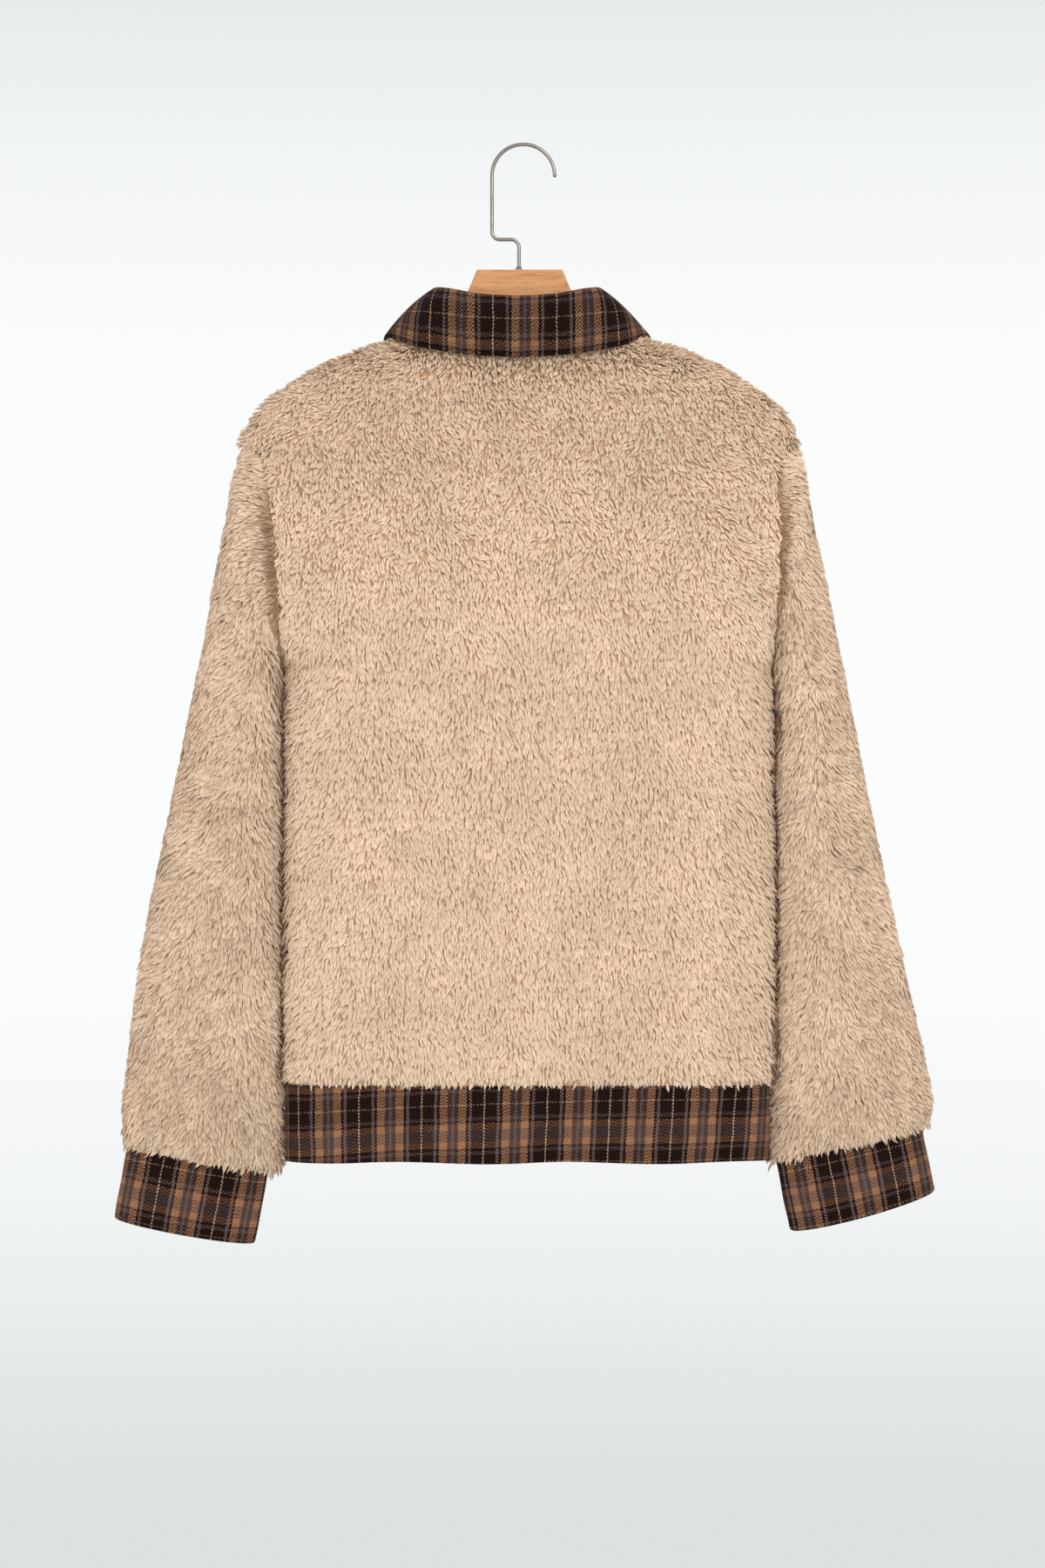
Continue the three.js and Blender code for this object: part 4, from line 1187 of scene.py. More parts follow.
def pile_layer(roots, fleece, layer, rng):
    """One layer of locks: slim closed leaves, and the way each corner of their faces is turned.

    A lock sets off from its root along the nap and turns a little at each of its places, with a
    corner on each side there, to its tip. It rises off the backing as it goes, its tip highest.
    Neighbours turn alike, and the locks in one clump lean their tips together. The corners face
    mostly as the cloth does, and a little outwards on each side, as a rounded tuft does. The
    undersides are turned partly the cloth's way, as light passes through the pile.
    """
    points, normal, curl = roots["points"], roots["normal"], roots["curl"]
    count, places = len(points), np.array([0, *layer["places"], 1.0])

    def varied(spread):
        return rng.normal(0, spread, (count, 1))

    rise = fleece["rise"] * roots["boost"] * layer["rise"]
    length = layer["long"] * fleece["length"] * roots["long"] * np.clip(1 + varied(0.17), 0.5, 1.5)
    half = layer["wide"] * fleece["width"] / 2 * np.clip(1 + varied(0.2), 0.55, 1.5)
    wave = ripple(points[:, :1] + points[:, 1:2], points[:, 2:], 14, 61) * 0.7 + varied(0.45)
    bend = np.radians(fleece["bend"] * mix(1, 1.7, curl)) * wave
    heading = np.radians(roots["lean"] + varied(1) * fleece["stray"] * mix(1, 1.8, curl))
    line, ways = [points - normal * ROOT_DEPTH], []
    for step, place in zip(np.diff(places), places):
        turn = heading + bend * (2.3 * (place + step / 2) - 1.15)
        ways.append(roots["down"] * np.cos(turn) + roots["side"] * np.sin(turn))
        climb = rng.uniform(0.8, 1.2, (count, 1)) * (1 - place) ** 1.5 * step * 2.2
        line.append(line[-1] + ways[-1] * length * step + normal * rise * climb)
    clump = clump_of(points, fleece["clump"])
    tips, members = line[-1], np.bincount(clump)
    centre = np.stack([np.bincount(clump, axis) / members for axis in tips.T], -1)[clump]
    gather = (centre - tips) * fleece["gather"]
    line = [point + gather * place ** 2 for point, place in zip(line, places)]
    corners, facing = [line[0]], [normal]
    for point, way in zip(line[1:-1], ways):
        over = np.cross(way, normal)
        corners += [point - over * half, point + over * half]
        facing += [normal - over * TUFT_ROUND, normal + over * TUFT_ROUND]
    corners, facing = np.stack(corners + [line[-1]], 1), unit(np.stack(facing + [normal], 1))
    pairs, size = len(places) - 2, corners.shape[1]
    pattern = lock_faces(pairs)
    a, b, c = (corners[:, pattern[:, k]] for k in range(3))
    flat = unit(np.cross(b - a, c - a) + 1e-9)
    outer = (flat * normal[:, None]).sum(-1) >= 0
    below = unit(flat + UNDERSIDE_LIT * normal[:, None])[:, :, None]
    turned = np.where(outer[..., None, None], facing[:, pattern], below)
    tone = rng.normal(layer["tone"], 0.14, count) + 0.1 * rng.normal(0, 1, len(members))[clump]
    # Flecks: random locks darkened as painted shade for the shadowed gaps between locks.
    flecks = roots["fleck"][:, 0] * np.clip(rng.normal(0, 1, count) - 0.65, 0, 1)
    values = {
        "lock_run": np.tile([0, *np.repeat(places[1:-1], 2), 1], count),
        "lock_side": np.tile([0.0, *([-1, 1] * pairs), 0], count),
        "lock_girth": np.tile([0.0, *([1, 1] * pairs), 0], count),
        "lock_tone": np.repeat(clamp01(tone), size),
        # lock_shade carries the painted shade: the nap's shade and the flecks.
        "lock_shade": np.repeat(np.minimum(roots["shade"][:, 0] + flecks, DARKEST), size),
    }
    faces = np.arange(count)[:, None, None] * size + pattern
    return corners.reshape(-1, 3), faces.reshape(-1, 3), values, turned.reshape(-1, 3)


def pile_locks(roots, fleece, layers, rng):
    """All layers of the pile in one: each root goes to a layer, drawn by the layers' shares."""
    drawn = rng.random(len(roots["points"]))
    made, low, first = [], 0.0, 0
    for layer in PILE_LAYERS[layers]:
        kept = (drawn >= low) & (drawn < low + layer["share"])
        points, faces, values, turned = pile_layer(
            {key: value[kept] for key, value in roots.items()}, fleece, layer, rng)
        made.append({"points": points, "faces": faces + first, "turned": turned, **values})
        low, first = low + layer["share"], first + len(points)
    values = {key: np.concatenate([part[key] for part in made]) for key in made[0]}
    return values.pop("points"), values.pop("faces"), values, values.pop("turned")


# ---------------------------------------------------------------- shader nodes


def node(tree, kind, inputs=None, **settings):
    """A new node with its settings, and each input linked or set."""
    made = tree.nodes.new(kind)
    for key, value in settings.items():
        setattr(made, key, value)
    for key, value in (inputs or {}).items():
        if isinstance(value, bpy.types.NodeSocket):
            tree.links.new(value, made.inputs[key])
        else:
            made.inputs[key].default_value = value
    return made


def maths(tree, operation, *values):
    return node(tree, "ShaderNodeMath", dict(enumerate(values)), operation=operation).outputs[0]


def blend(tree, factor, first, second, how="MIX"):
    """Colours mixed by a factor. Plain colours come as three numbers."""
    inputs = {0: factor}
    for index, value in ((6, first), (7, second)):
        inputs[index] = value if isinstance(value, bpy.types.NodeSocket) else (*value, 1)
    return node(tree, "ShaderNodeMix", inputs, data_type="RGBA", blend_type=how).outputs[2]


def lit(tree, colour, light):
    """A colour made lighter or darker by a factor."""
    grey = node(tree, "ShaderNodeCombineColor", {0: light, 1: light, 2: light}).outputs[0]
    return blend(tree, 1.0, colour, grey, "MULTIPLY")


def spread(tree, value, low, high, to_low=0.0, to_high=1.0):
    """A value taken from one range to another, and held at its ends."""
    inputs = {0: value, 1: low, 2: high, 3: to_low, 4: to_high}
    return node(tree, "ShaderNodeMapRange", inputs, interpolation_type="SMOOTHSTEP").outputs[0]


def noise(tree, place, scale, detail=2.0, stretch=(1, 1, 1)):
    """Noise from about 0 to 1 at a place, with features about 1 / scale metres across."""
    inputs = {0: place, 1: stretch}
    moved = node(tree, "ShaderNodeVectorMath", inputs, operation="MULTIPLY").outputs[0]
    inputs = {"Vector": moved, "Scale": scale, "Detail": detail}
    return node(tree, "ShaderNodeTexNoise", inputs).outputs["Fac"]


def own_place(tree):
    """Where on the piece itself a point lies, in metres."""
    return node(tree, "ShaderNodeTexCoord").outputs["Object"]


def bump(tree, height, strength, distance):
    """The normal of a surface with bumps a distance high, in millimetres."""
    inputs = {"Height": height, "Strength": strength, "Distance": distance * MM}
    return node(tree, "ShaderNodeBump", inputs).outputs[0]


def dress(tree, surface, **looks):
    """Links what changes over a surface to its shader, Color to the base colour."""
    for key, value in looks.items():
        tree.links.new(value, surface.inputs["Base Color" if key == "Color" else key])


def new_material(name, roughness, **shader):
    """A material with a Principled shader, its tree and the shader."""
    material = bpy.data.materials.new(name)
    material.use_nodes = True
    tree = material.node_tree
    tree.nodes.clear()
    surface = node(tree, "ShaderNodeBsdfPrincipled", {"Roughness": roughness, **shader})
    node(tree, "ShaderNodeOutputMaterial", {"Surface": surface.outputs[0]})
    return material, tree, surface


def new_group(name, inputs, outputs):
    """A shader node group with named sockets, and its tree."""
    tree = bpy.data.node_groups.new(name, "ShaderNodeTree")
    for key, kind in inputs:
        tree.interface.new_socket(key, in_out="INPUT", socket_type=kind)
    for key, kind in outputs:
        tree.interface.new_socket(key, in_out="OUTPUT", socket_type=kind)
    return tree, node(tree, "NodeGroupInput").outputs


def plaid_group():
    """Herringbone plaid: two bands of yarn colours that cross, and the rib that picks one of them.

    Each colour is read from how far a place is from its nearest fine line. The rib runs down and
    turns at every column. Warp shows on the larger part of its pitch, and weft, lying lower and
    darkened as painted shade, on the rest. Painted shade darkens the valleys between the ribs, less
    where both yarns are pale, and thin lines between the warp threads, and a painted highlight
    brightens the ribs' crests, more where both yarns are pale.
    """
    name = "Herringbone Plaid"
    if name in bpy.data.node_groups:
        return bpy.data.node_groups[name]
    colours = [(key.capitalize(), "NodeSocketColor") for key in YARNS]
    sizes = [(key, "NodeSocketFloat") for key in ("Across", "Down", "Wide", "Tall")]
    tree, given = new_group(name, [("Cloth", "NodeSocketVector"), *sizes, *colours],
                            [("Color", "NodeSocketColor"), ("Height", "NodeSocketFloat")])
    cloth = given["Cloth"]
    place = node(tree, "ShaderNodeSeparateXYZ", {0: cloth}).outputs
    slow, quick = (maths(tree, "MULTIPLY_ADD", noise(tree, cloth, scale), reach, -reach / 2)
                   for scale, reach in ((60, 0.0018), (420, 0.0008)))
    wander = maths(tree, "ADD", slow, quick)
    across, down = (
        maths(tree, "DIVIDE", maths(tree, "SUBTRACT", place[axis], given[first]), given[drawn])
        for axis, (first, drawn) in enumerate((("Across", "Wide"), ("Down", "Tall"))))
    across, down = (maths(tree, "ADD", value, wander) for value in (across, down))
    warp_place, weft_place = (maths(tree, "PINGPONG", value, HALF_REPEAT * MM)
                              for value in (across, down))

    def yarn(at, bands):
        colour = given[bands[-1][0].capitalize()]
        for key, end in reversed(bands[:-1]):
            inside = maths(tree, "LESS_THAN", at, end * MM)
            colour = blend(tree, inside, colour, given[key.capitalize()])
        return colour

    from_turn = maths(tree, "SUBTRACT", across, RIB["turn"] * MM)
    zigzag = maths(tree, "PINGPONG", from_turn, RIB["width"] * MM)
    rise = maths(tree, "MULTIPLY_ADD", zigzag, RIB["slope"], down)
    rib = maths(tree, "FRACT", maths(tree, "DIVIDE", rise, RIB["pitch"] * MM))
    warp_on_top = maths(tree, "LESS_THAN", rib, RIB["warp"])
    warp, weft = yarn(warp_place, WARP_BANDS), yarn(weft_place, WEFT_BANDS)
    colour = blend(tree, warp_on_top, weft, warp)
    reds = [node(tree, "ShaderNodeSeparateColor", {0: value}).outputs[0] for value in (warp, weft)]
    solid = spread(tree, maths(tree, "MINIMUM", *reds), 0.14, 0.2)
    fuzz, worn = noise(tree, cloth, 1100, 3), noise(tree, cloth, 45, 2)
    hump = maths(tree, "MINIMUM", maths(tree, "PINGPONG", rib, 0.5),
                 maths(tree, "ABSOLUTE", maths(tree, "SUBTRACT", rib, RIB["warp"])))
    hump = spread(tree, hump, 0.01, 0.15)
    thread = spread(tree, maths(tree, "PINGPONG", across, 0.00033), 0.0, 0.0002, 0.8, 1.04)
    light = maths(tree, "ADD", spread(tree, fuzz, 0.3, 0.7, 0.7, 1.3),
                  spread(tree, worn, 0.3, 0.7, -0.06, 0.08))
    # Painted shade in the rib's valleys and a painted highlight on its crests.
    valley_shade = spread(tree, solid, 0.0, 1.0, 0.28, 0.95)
    crest_highlight = spread(tree, solid, 0.0, 1.0, 1.28, 1.45)
    light = maths(tree, "MULTIPLY", light, spread(tree, hump, 0.0, 1.0, valley_shade, crest_highlight))
    # Painted shade: the lower-lying weft is darker, and so are thin lines between warp threads.
    light = maths(tree, "MULTIPLY", light, spread(tree, warp_on_top, 0.0, 1.0, 0.78, thread))
    height = maths(tree, "ADD", maths(tree, "MULTIPLY", fuzz, 0.8),
                   maths(tree, "MULTIPLY", hump, thread))
    node(tree, "NodeGroupOutput", {"Color": lit(tree, colour, light), "Height": height})
    return tree


def plaid_material(name, place, plaid):
    """Brushed wool-like plaid, its pattern laid by the cloth's own coordinates."""
    material, tree, surface = new_material(
        name, 0.95, **{"Sheen Weight": 0.02, "Sheen Roughness": 0.5, "Specular IOR Level": 0.06})
    cloth = node(tree, "ShaderNodeUVMap", uv_map="cloth").outputs[0]
    group = node(tree, "ShaderNodeGroup", node_tree=plaid_group())
    tree.links.new(cloth, group.inputs["Cloth"])
    for key, scale in (("across", MM), ("down", MM), ("wide", 1), ("tall", 1)):
        group.inputs[key.capitalize()].default_value = place[key] * scale
    for key in YARNS:
        yarn = [channel * place.get("light", 1) for channel in getattr(plaid, key)]
        group.inputs[key.capitalize()].default_value = (*yarn, 1)
    made = group.outputs
    dress(tree, surface, Color=made["Color"], Normal=bump(tree, made["Height"], 0.5, 0.5))
    return material


def drift_group():
    """Slow colour drift: pale and dark patches a few centimetres across, at random."""
    name = "Pile Drift"
    if name in bpy.data.node_groups:
        return bpy.data.node_groups[name]
    tree, given = new_group(name, [("Color", "NodeSocketColor"), ("Amount", "NodeSocketFloat")],
                            [("Color", "NodeSocketColor")])
    place = own_place(tree)
    slow = spread(tree, noise(tree, place, 22, 3), 0.32, 0.68, -1, 1)
    fine = spread(tree, noise(tree, place, 320, 2), 0.3, 0.7, -0.7, 0.7)
    light = maths(tree, "MULTIPLY_ADD", maths(tree, "ADD", slow, fine), given["Amount"], 1.0)
    node(tree, "NodeGroupOutput", {"Color": lit(tree, given["Color"], light)})
    return tree


def drifted(tree, colour, amount):
    """A colour through the drift group."""
    group = node(tree, "ShaderNodeGroup", node_tree=drift_group())
    tree.links.new(colour, group.inputs["Color"])
    group.inputs["Amount"].default_value = amount
    return group.outputs["Color"]


def pile_material(fleece):
    """The pile: painted shade at the locks' roots and edges, a painted highlight at their pale
    tips, and fine strands.
    """
    material, tree, surface = new_material(
        "fleece_pile", 0.9,
        **{"Sheen Weight": 0.05, "Sheen Roughness": 0.5, "Specular IOR Level": 0.1})
    run, side, girth, tone, shade = (
        node(tree, "ShaderNodeAttribute", attribute_name=f"lock_{key}").outputs["Fac"]
        for key in ("run", "side", "girth", "tone", "shade"))
    across = maths(tree, "DIVIDE", side, maths(tree, "MAXIMUM", girth, 0.001))
    # Painted shade at each lock's root and a painted highlight at its tip.
    colour = blend(tree, spread(tree, run, 0.0, 0.45), fleece.root, fleece.middle)
    colour = blend(tree, spread(tree, run, 0.5, 1.0), colour, fleece.tip)
    own = maths(tree, "MULTIPLY", tone, 90)
    place = node(tree, "ShaderNodeCombineXYZ", {0: across, 1: run, 2: own}).outputs[0]
    strands = spread(tree, noise(tree, place, 1.6, 1, (1, 0.8, 1)), 0.35, 0.65, 0.9, 1.04)
    # Painted shade along each lock's edges, for the gaps between locks.
    edge = spread(tree, maths(tree, "ABSOLUTE", across), 0.5, 1.0, 1.0, 0.86)
    light = maths(tree, "MULTIPLY", spread(tree, tone, 0.0, 1.0, 0.94, 1.06),
                  maths(tree, "MULTIPLY", strands, edge))
    # Painted shade: lock_shade blends the pile towards the deep colour where shade falls.
    colour = blend(tree, shade, lit(tree, colour, light), fleece.deep)
    dress(tree, surface, Color=drifted(tree, colour, 0.05))
    return material


def backing_material(fleece):
    """The knitted backing below the pile, with the rows of its loops."""
    material, tree, surface = new_material(
        "fleece_backing", 0.95,
        **{"Sheen Weight": 0.2, "Sheen Roughness": 0.5, "Specular IOR Level": 0.15})
    place = own_place(tree)
    loops = noise(tree, place, 260, 3, (1, 1, 0.4))
    colour = blend(tree, spread(tree, loops, 0.3, 0.7), fleece.root, fleece.backing)
    wave = {"Vector": place, "Scale": 420.0, "Distortion": 1.5, "Detail": 1.0}
    knit = node(tree, "ShaderNodeTexWave", wave).outputs["Fac"]
    height = maths(tree, "ADD", loops, maths(tree, "MULTIPLY", knit, 0.4))
    dress(tree, surface, Color=drifted(tree, colour, 0.06), Normal=bump(tree, height, 0.6, 0.8))
    return material


def thread_material(name, colour, shaded):
    """The stitching thread: two twisted plies, darkened in patches along the twist as painted
    shade.
    """
    material, tree, surface = new_material(name, 0.7, **{"Specular IOR Level": 0.3})
    twist = noise(tree, own_place(tree), 2600, 2)
    dress(tree, surface, Color=blend(tree, spread(tree, twist, 0.35, 0.65), shaded, colour))
    return material


def beech_material(hanger):
    """Planed beech: fine dark grain that runs along X and wavers, and the rays' short flecks."""
    material, tree, surface = new_material(
        "beech", 0.45, **{"Coat Weight": 0.25, "Coat Roughness": 0.3, "Specular IOR Level": 0.4})
    place = own_place(tree)
    grain = noise(tree, place, 60, 4, (0.12, 1, 2.2))
    streak = noise(tree, place, 520, 3, (0.11, 0.5, 1))
    fleck = noise(tree, place, 1300, 2, (0.16, 0.5, 1))
    colour = blend(tree, spread(tree, grain, 0.3, 0.7, 0, 0.35), hanger.wood, hanger.wood_dark)
    colour = blend(tree, spread(tree, streak, 0.5, 0.66, 0, 0.75), colour, hanger.wood_dark)
    colour = blend(tree, spread(tree, fleck, 0.55, 0.72, 0, 0.4), colour, hanger.fleck)
    dress(tree, surface, Color=colour, Roughness=spread(tree, grain, 0.3, 0.7, 0.4, 0.52),
          Normal=bump(tree, streak, 0.2, 0.3))
    return material


def nickel_material(hanger):
    """Drawn nickel wire: fine scratches and a slightly uneven polish."""
    material, tree, surface = new_material("nickel_wire", 0.3, Metallic=1.0)
    place = own_place(tree)
    smear = noise(tree, place, 160, 3)
    scratch = noise(tree, place, 1900, 2, (1, 1, 0.15))
    dull = tuple(value * 0.72 for value in hanger.nickel)
    colour = blend(tree, spread(tree, smear, 0.35, 0.7, 0.0, 0.5), hanger.nickel, dull)
    dress(tree, surface, Color=colour, Roughness=spread(tree, smear, 0.3, 0.7, 0.3, 0.38),
          Normal=bump(tree, scratch, 0.05, 0.1))
    return material


# ---------------------------------------------------------------- settings


def colour_setting(name, description, default):
    return bpy.props.FloatVectorProperty(
        name=name, description=description, subtype="COLOR", size=3, min=0, max=1, default=default)


def size_setting(name, description, default):
    return bpy.props.FloatProperty(
        name=name, description=description, unit="LENGTH", subtype="DISTANCE", min=0,
        default=default * MM)


def turn_setting(name, description, default):
    return bpy.props.FloatProperty(name=name, description=description, min=0, default=default)


def count_setting(name, description, default):
    return bpy.props.IntProperty(name=name, description=description, default=default)


class PULLOVER_PG_fleece(bpy.types.PropertyGroup):
    """Sizes and colours of the fleece"""

    length: size_setting("Lock length", "From a lock's root to its tip", 10.0)
    width: size_setting("Lock width", "Across a lock at its middle", 1.9)
    rise: size_setting("Lock rise", "How far locks stand off the backing", 2.5)
    clump: size_setting("Clump size", "Across the locks that lean together", 6.5)
    gather: bpy.props.FloatProperty(
        name="Gather", description="How far the tips in a clump meet", subtype="FACTOR",
        min=0, max=1, default=0.3)
    stray: turn_setting("Stray", "How far single locks turn from the nap, in degrees", 7)
    bend: turn_setting("Bend", "How far a lock turns as it runs, in degrees", 22)
    back_locks: count_setting("Back locks", "Locks on the back", 67500)
    front_locks: count_setting("Front locks", "Locks on the front", 35000)
    sleeve_locks: count_setting("Sleeve locks", "Locks on a sleeve", 29500)
    # Painted highlight: the locks' tips are paler.
    tip: colour_setting("Tip", "The pale tips of the locks", srgb(223, 198, 174))
    middle: colour_setting("Pile", "The body of the locks", srgb(221, 193, 166))
    # Painted shade: the locks are darker at their roots; the backing's loops use this colour too.
    root: colour_setting("Root", "The locks where they are rooted", srgb(202, 168, 138))
    # Painted shade: the dark colour that the pile is blended towards in slits, grooves and gaps.
    deep: colour_setting("Deep", "The pile in the slits beside the sleeves", srgb(104, 70, 44))
    backing: colour_setting("Backing", "The knitted backing", srgb(206, 168, 134))


class PULLOVER_PG_plaid(bpy.types.PropertyGroup):
    """Colours of the plaid trims"""

    ground: colour_setting("Ground", "The near-black brown yarn", srgb(30, 16, 14))
    fine: colour_setting("Fine line", "The single light threads", srgb(156, 124, 102))
    mauve: colour_setting("Mauve", "The grey-mauve yarn", srgb(96, 80, 77))
    dusk: colour_setting("Dusk", "The darker yarn between the tan bands", srgb(68, 52, 48))
    tan: colour_setting("Tan", "The tan yarn", srgb(134, 95, 70))
    thread: colour_setting("Thread", "The cuffs' stitching", srgb(150, 116, 84))
    # Painted shade: the collar's stitches are dark to draw the shaded groove the stitching presses
    # in.
    groove_shade_thread: colour_setting("Dark thread", "The collar's stitching", srgb(38, 26, 22))


class PULLOVER_PG_hanger(bpy.types.PropertyGroup):
    """Colours of the hanger"""

    wood: colour_setting("Beech", "The light wood", srgb(206, 148, 92))
    wood_dark: colour_setting("Beech grain", "The darker grain", srgb(164, 108, 62))
    fleck: colour_setting("Beech fleck", "The rays' dark flecks", srgb(150, 98, 58))
    nickel: colour_setting("Nickel", "The wire and ferrule", srgb(140, 134, 126))


class PULLOVER_PG_stage(bpy.types.PropertyGroup):
    """The studio"""

    backdrop: colour_setting("Backdrop", "The studio behind the garment", srgb(251, 253, 253))
    backdrop_far: colour_setting("Backdrop edge", "The studio above and below", srgb(221, 225, 225))
    distance: bpy.props.FloatProperty(
        name="Camera distance", description="From the camera to the garment", unit="LENGTH",
        subtype="DISTANCE", default=3.0)
    frame_height: bpy.props.FloatProperty(
        name="Frame height", description="How much of the garment's plane the view takes in",
        unit="LENGTH", subtype="DISTANCE", default=1.296)
    key_power: bpy.props.FloatProperty(
        name="Key light", description="Power of the key light", unit="POWER", default=50)
    air: colour_setting("Air light", "The even light from all round", (0.80, 0.785, 0.76))


# ---------------------------------------------------------------- operators


def finish_piece(piece, slot, material, *nodes):
    """Gives a piece its material, and hides the CAD nodes that it stands for; slot is not used."""
    piece.data.materials.append(material)
    if nodes:
        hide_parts(*nodes)
    return piece


def material_once(name, make, *details):
    """A material by name, made the first time it is asked for."""
    return bpy.data.materials.get(name) or make(*details)


def fleece_sizes(settings):
    """The pile's sizes in millimetres."""
    sizes = {key: getattr(settings, key) / MM for key in ("length", "width", "rise", "clump")}
    return {**sizes, **{key: getattr(settings, key) for key in ("gather", "stray", "bend")}}


def add_backing(context, node_name, outer, inner, around):
    """A thin knitted shell between two grids, in place of the CAD node that it is named for."""
    along = np.linspace(0, 400, outer.shape[1] + 1 if around else outer.shape[1])
    down = np.linspace(0, 600, len(outer))
    piece = cloth_shell(f"{node_name}_backing", outer, around, along, down, inner=inner)
    knitted = material_once("fleece_backing", backing_material, context.scene.pullover_fleece)
    return finish_piece(piece, "fleece", knitted, node_name)


def add_pile(context, name, roots, rng):
    """A piece of pile: a closed leaf for every lock that grows from the roots."""
    settings = context.scene.pullover_fleece
    layers = "wide" if name.startswith("front") else "fine"
    points, faces, values, facing = pile_locks(roots, fleece_sizes(settings), layers, rng)
    piece = add_mesh(name, points, faces, values=values, facing=facing)
    return finish_piece(piece, "fleece", material_once("fleece_pile", pile_material, settings))


class PULLOVER_OT_panels(bpy.types.Operator):
    """Adds the back and front: a thin knitted backing each, and the pile on it"""

    bl_idname = "pullover.add_panels"
    bl_label = "Back and Front"

    def execute(self, context):
        settings = context.scene.pullover_fleece
        for seed, face in enumerate(("back", "front")):
            outer, inner = (panel_grid(face, *GRIDS["panel_backing"], BACKING[skin])
                            for skin in ("outer", "inner"))
            backing = add_backing(context, face, outer, inner, False)
            grid = panel_grid(face, *GRIDS["panel_pile"], BACKING["outer"])
            ways = surface_ways(grid, False)
            nap = panel_nap(face, grid, ways["normal"])
            rng = np.random.default_rng(100 + seed)
            count = getattr(settings, f"{face}_locks")
            roots = lock_roots(grid, ways, nap, False, count, rng, FRONT_SHARE["panels"])
            part = np.digitize(roots["points"][:, 2], PILE_PARTS[face])
            for number in range(len(PILE_PARTS[face]) + 1):
                some = {key: value[part == number] for key, value in roots.items()}
                add_pile(context, f"{face}_pile_{number + 1}", some, rng)
        return {"FINISHED"}


class PULLOVER_OT_sleeves(bpy.types.Operator):
    """Adds both sleeves: a tube of knitted backing each, and the pile on it"""

    bl_idname = "pullover.add_sleeves"
    bl_label = "Sleeves"

    def execute(self, context):
        settings = context.scene.pullover_fleece
        for seed, name in enumerate(("left", "right")):
            outer, inner = (
                armhole_lap(name, sleeve_grid(name, *GRIDS["sleeve_backing"], BACKING[skin]), skin)
                for skin in ("outer", "inner"))
            backing = add_backing(context, f"sleeve_{name}", outer, inner, True)
            grid = sleeve_grid(name, *GRIDS["sleeve_pile"], BACKING["outer"])
            ways, around = surface_ways(grid, True), grid.shape[1]
            turns = np.broadcast_to(np.arange(around) / around, grid.shape[:2])
            nap = sleeve_nap(name, turns, grid, ways["normal"])
            rng = np.random.default_rng(200 + seed)
            count, share = settings.sleeve_locks, FRONT_SHARE["sleeves"]
            roots = lock_roots(grid, ways, nap, True, count, rng, share)
            pile = add_pile(context, f"sleeve_{name}_pile", roots, rng)
        return {"FINISHED"}


class PULLOVER_OT_hem_and_cuffs(bpy.types.Operator):
    """Adds the hem band and both cuffs, folded double at their lower edges"""

    bl_idname = "pullover.add_hem_and_cuffs"
    bl_label = "Hem Band and Cuffs"

    def execute(self, context):
        plaid = context.scene.pullover_plaid
        grid, share = band_grid(*GRIDS["hem_band"])
        band = self.add_band("hem_band", grid, *band_cloth(grid, share), plaid)
        for name in ("left", "right"):
            grid = cuff_grid(name, *GRIDS["cuff"])
            cuff = self.add_band(f"cuff_{name}", grid, *cuff_cloth(name, grid), plaid)
        return {"FINISHED"}

    def add_band(self, name, grid, along, down, plaid):
        """A closed band of plaid, which stands for the CAD node of its name."""
        piece = cloth_shell(f"{name}_cloth", grid, True, along, down, TRIM)
        cloth = plaid_material(f"plaid_{name}", PLAID_PLACES[name], plaid)
        return finish_piece(piece, "plaid", cloth, name)


class PULLOVER_OT_collar(bpy.types.Operator):
    """Adds the collar: its leaf with the stitched edge, the under collar and the stand"""

    bl_idname = "pullover.add_collar"
    bl_label = "Collar"

    def execute(self, context):
        plaid = context.scene.pullover_plaid
        shown = plaid_material("plaid_collar", PLAID_PLACES["collar"], plaid)
        below = plaid_material("plaid_under_collar", PLAID_PLACES["under"], plaid)
        parts = {
            "collar_leaf": (leaf_grid, "leaf", shown, "folded", "collar_stand_cloth"),
            "collar_under": (under_grid, "under", below, "folded", "collar_stand_cloth"),
            "collar_stand": (stand_grid, "stand", shown, "stretched", "back_backing"),
        }
        for name, (form, size, cloth, held, on) in parts.items():
            grid, along, down = form(*GRIDS[size])
            piece = cloth_shell(f"{name}_cloth", grid, False, along, down, COLLAR_PLY)
            finish_piece(piece, "plaid", cloth, name)
        return {"FINISHED"}


class PULLOVER_OT_stitches(bpy.types.Operator):
    """Adds the stitching along the collar's and the cuffs' edges"""

    bl_idname = "pullover.add_stitches"
    bl_label = "Stitching"

    def execute(self, context):
        plaid = context.scene.pullover_plaid
        # The collar's stitches are dark as painted shade of their groove.
        dark = thread_material("collar_thread", plaid.groove_shade_thread, plaid.ground)
        light = thread_material("cuff_thread", plaid.thread, plaid.ground)
        self.add_row("collar_stitches", leaf_grid(*GRIDS["leaf"])[0], False, dark)
        for name in ("left", "right"):
            self.add_row(f"cuff_{name}_stitches", cuff_grid(name, *GRIDS["cuff"]), True, light)
        return {"FINISHED"}

    def add_row(self, name, grid, around, thread):
        """A row of stitches at the same height above a grid's last row."""
        normals, rise = surface_ways(grid, around)["normal"], rise_from_edge(grid)
        up, columns = EDGE_STITCH["up"], np.arange(grid.shape[1])
        rows = (rise > up).sum(axis=0) - 1
        top, bottom = rise[rows, columns], rise[rows + 1, columns]
        share = ((top - up) / (top - bottom))[:, None]
        line, facing = (mix(values[rows, columns], values[rows + 1, columns], share)
                        for values in (grid, normals))
        if around:
            line, facing = (np.concatenate([values, values[:1]]) for values in (line, facing))
        finish_piece(add_mesh(name, *stitch_row(line, facing)), "plaid", thread)


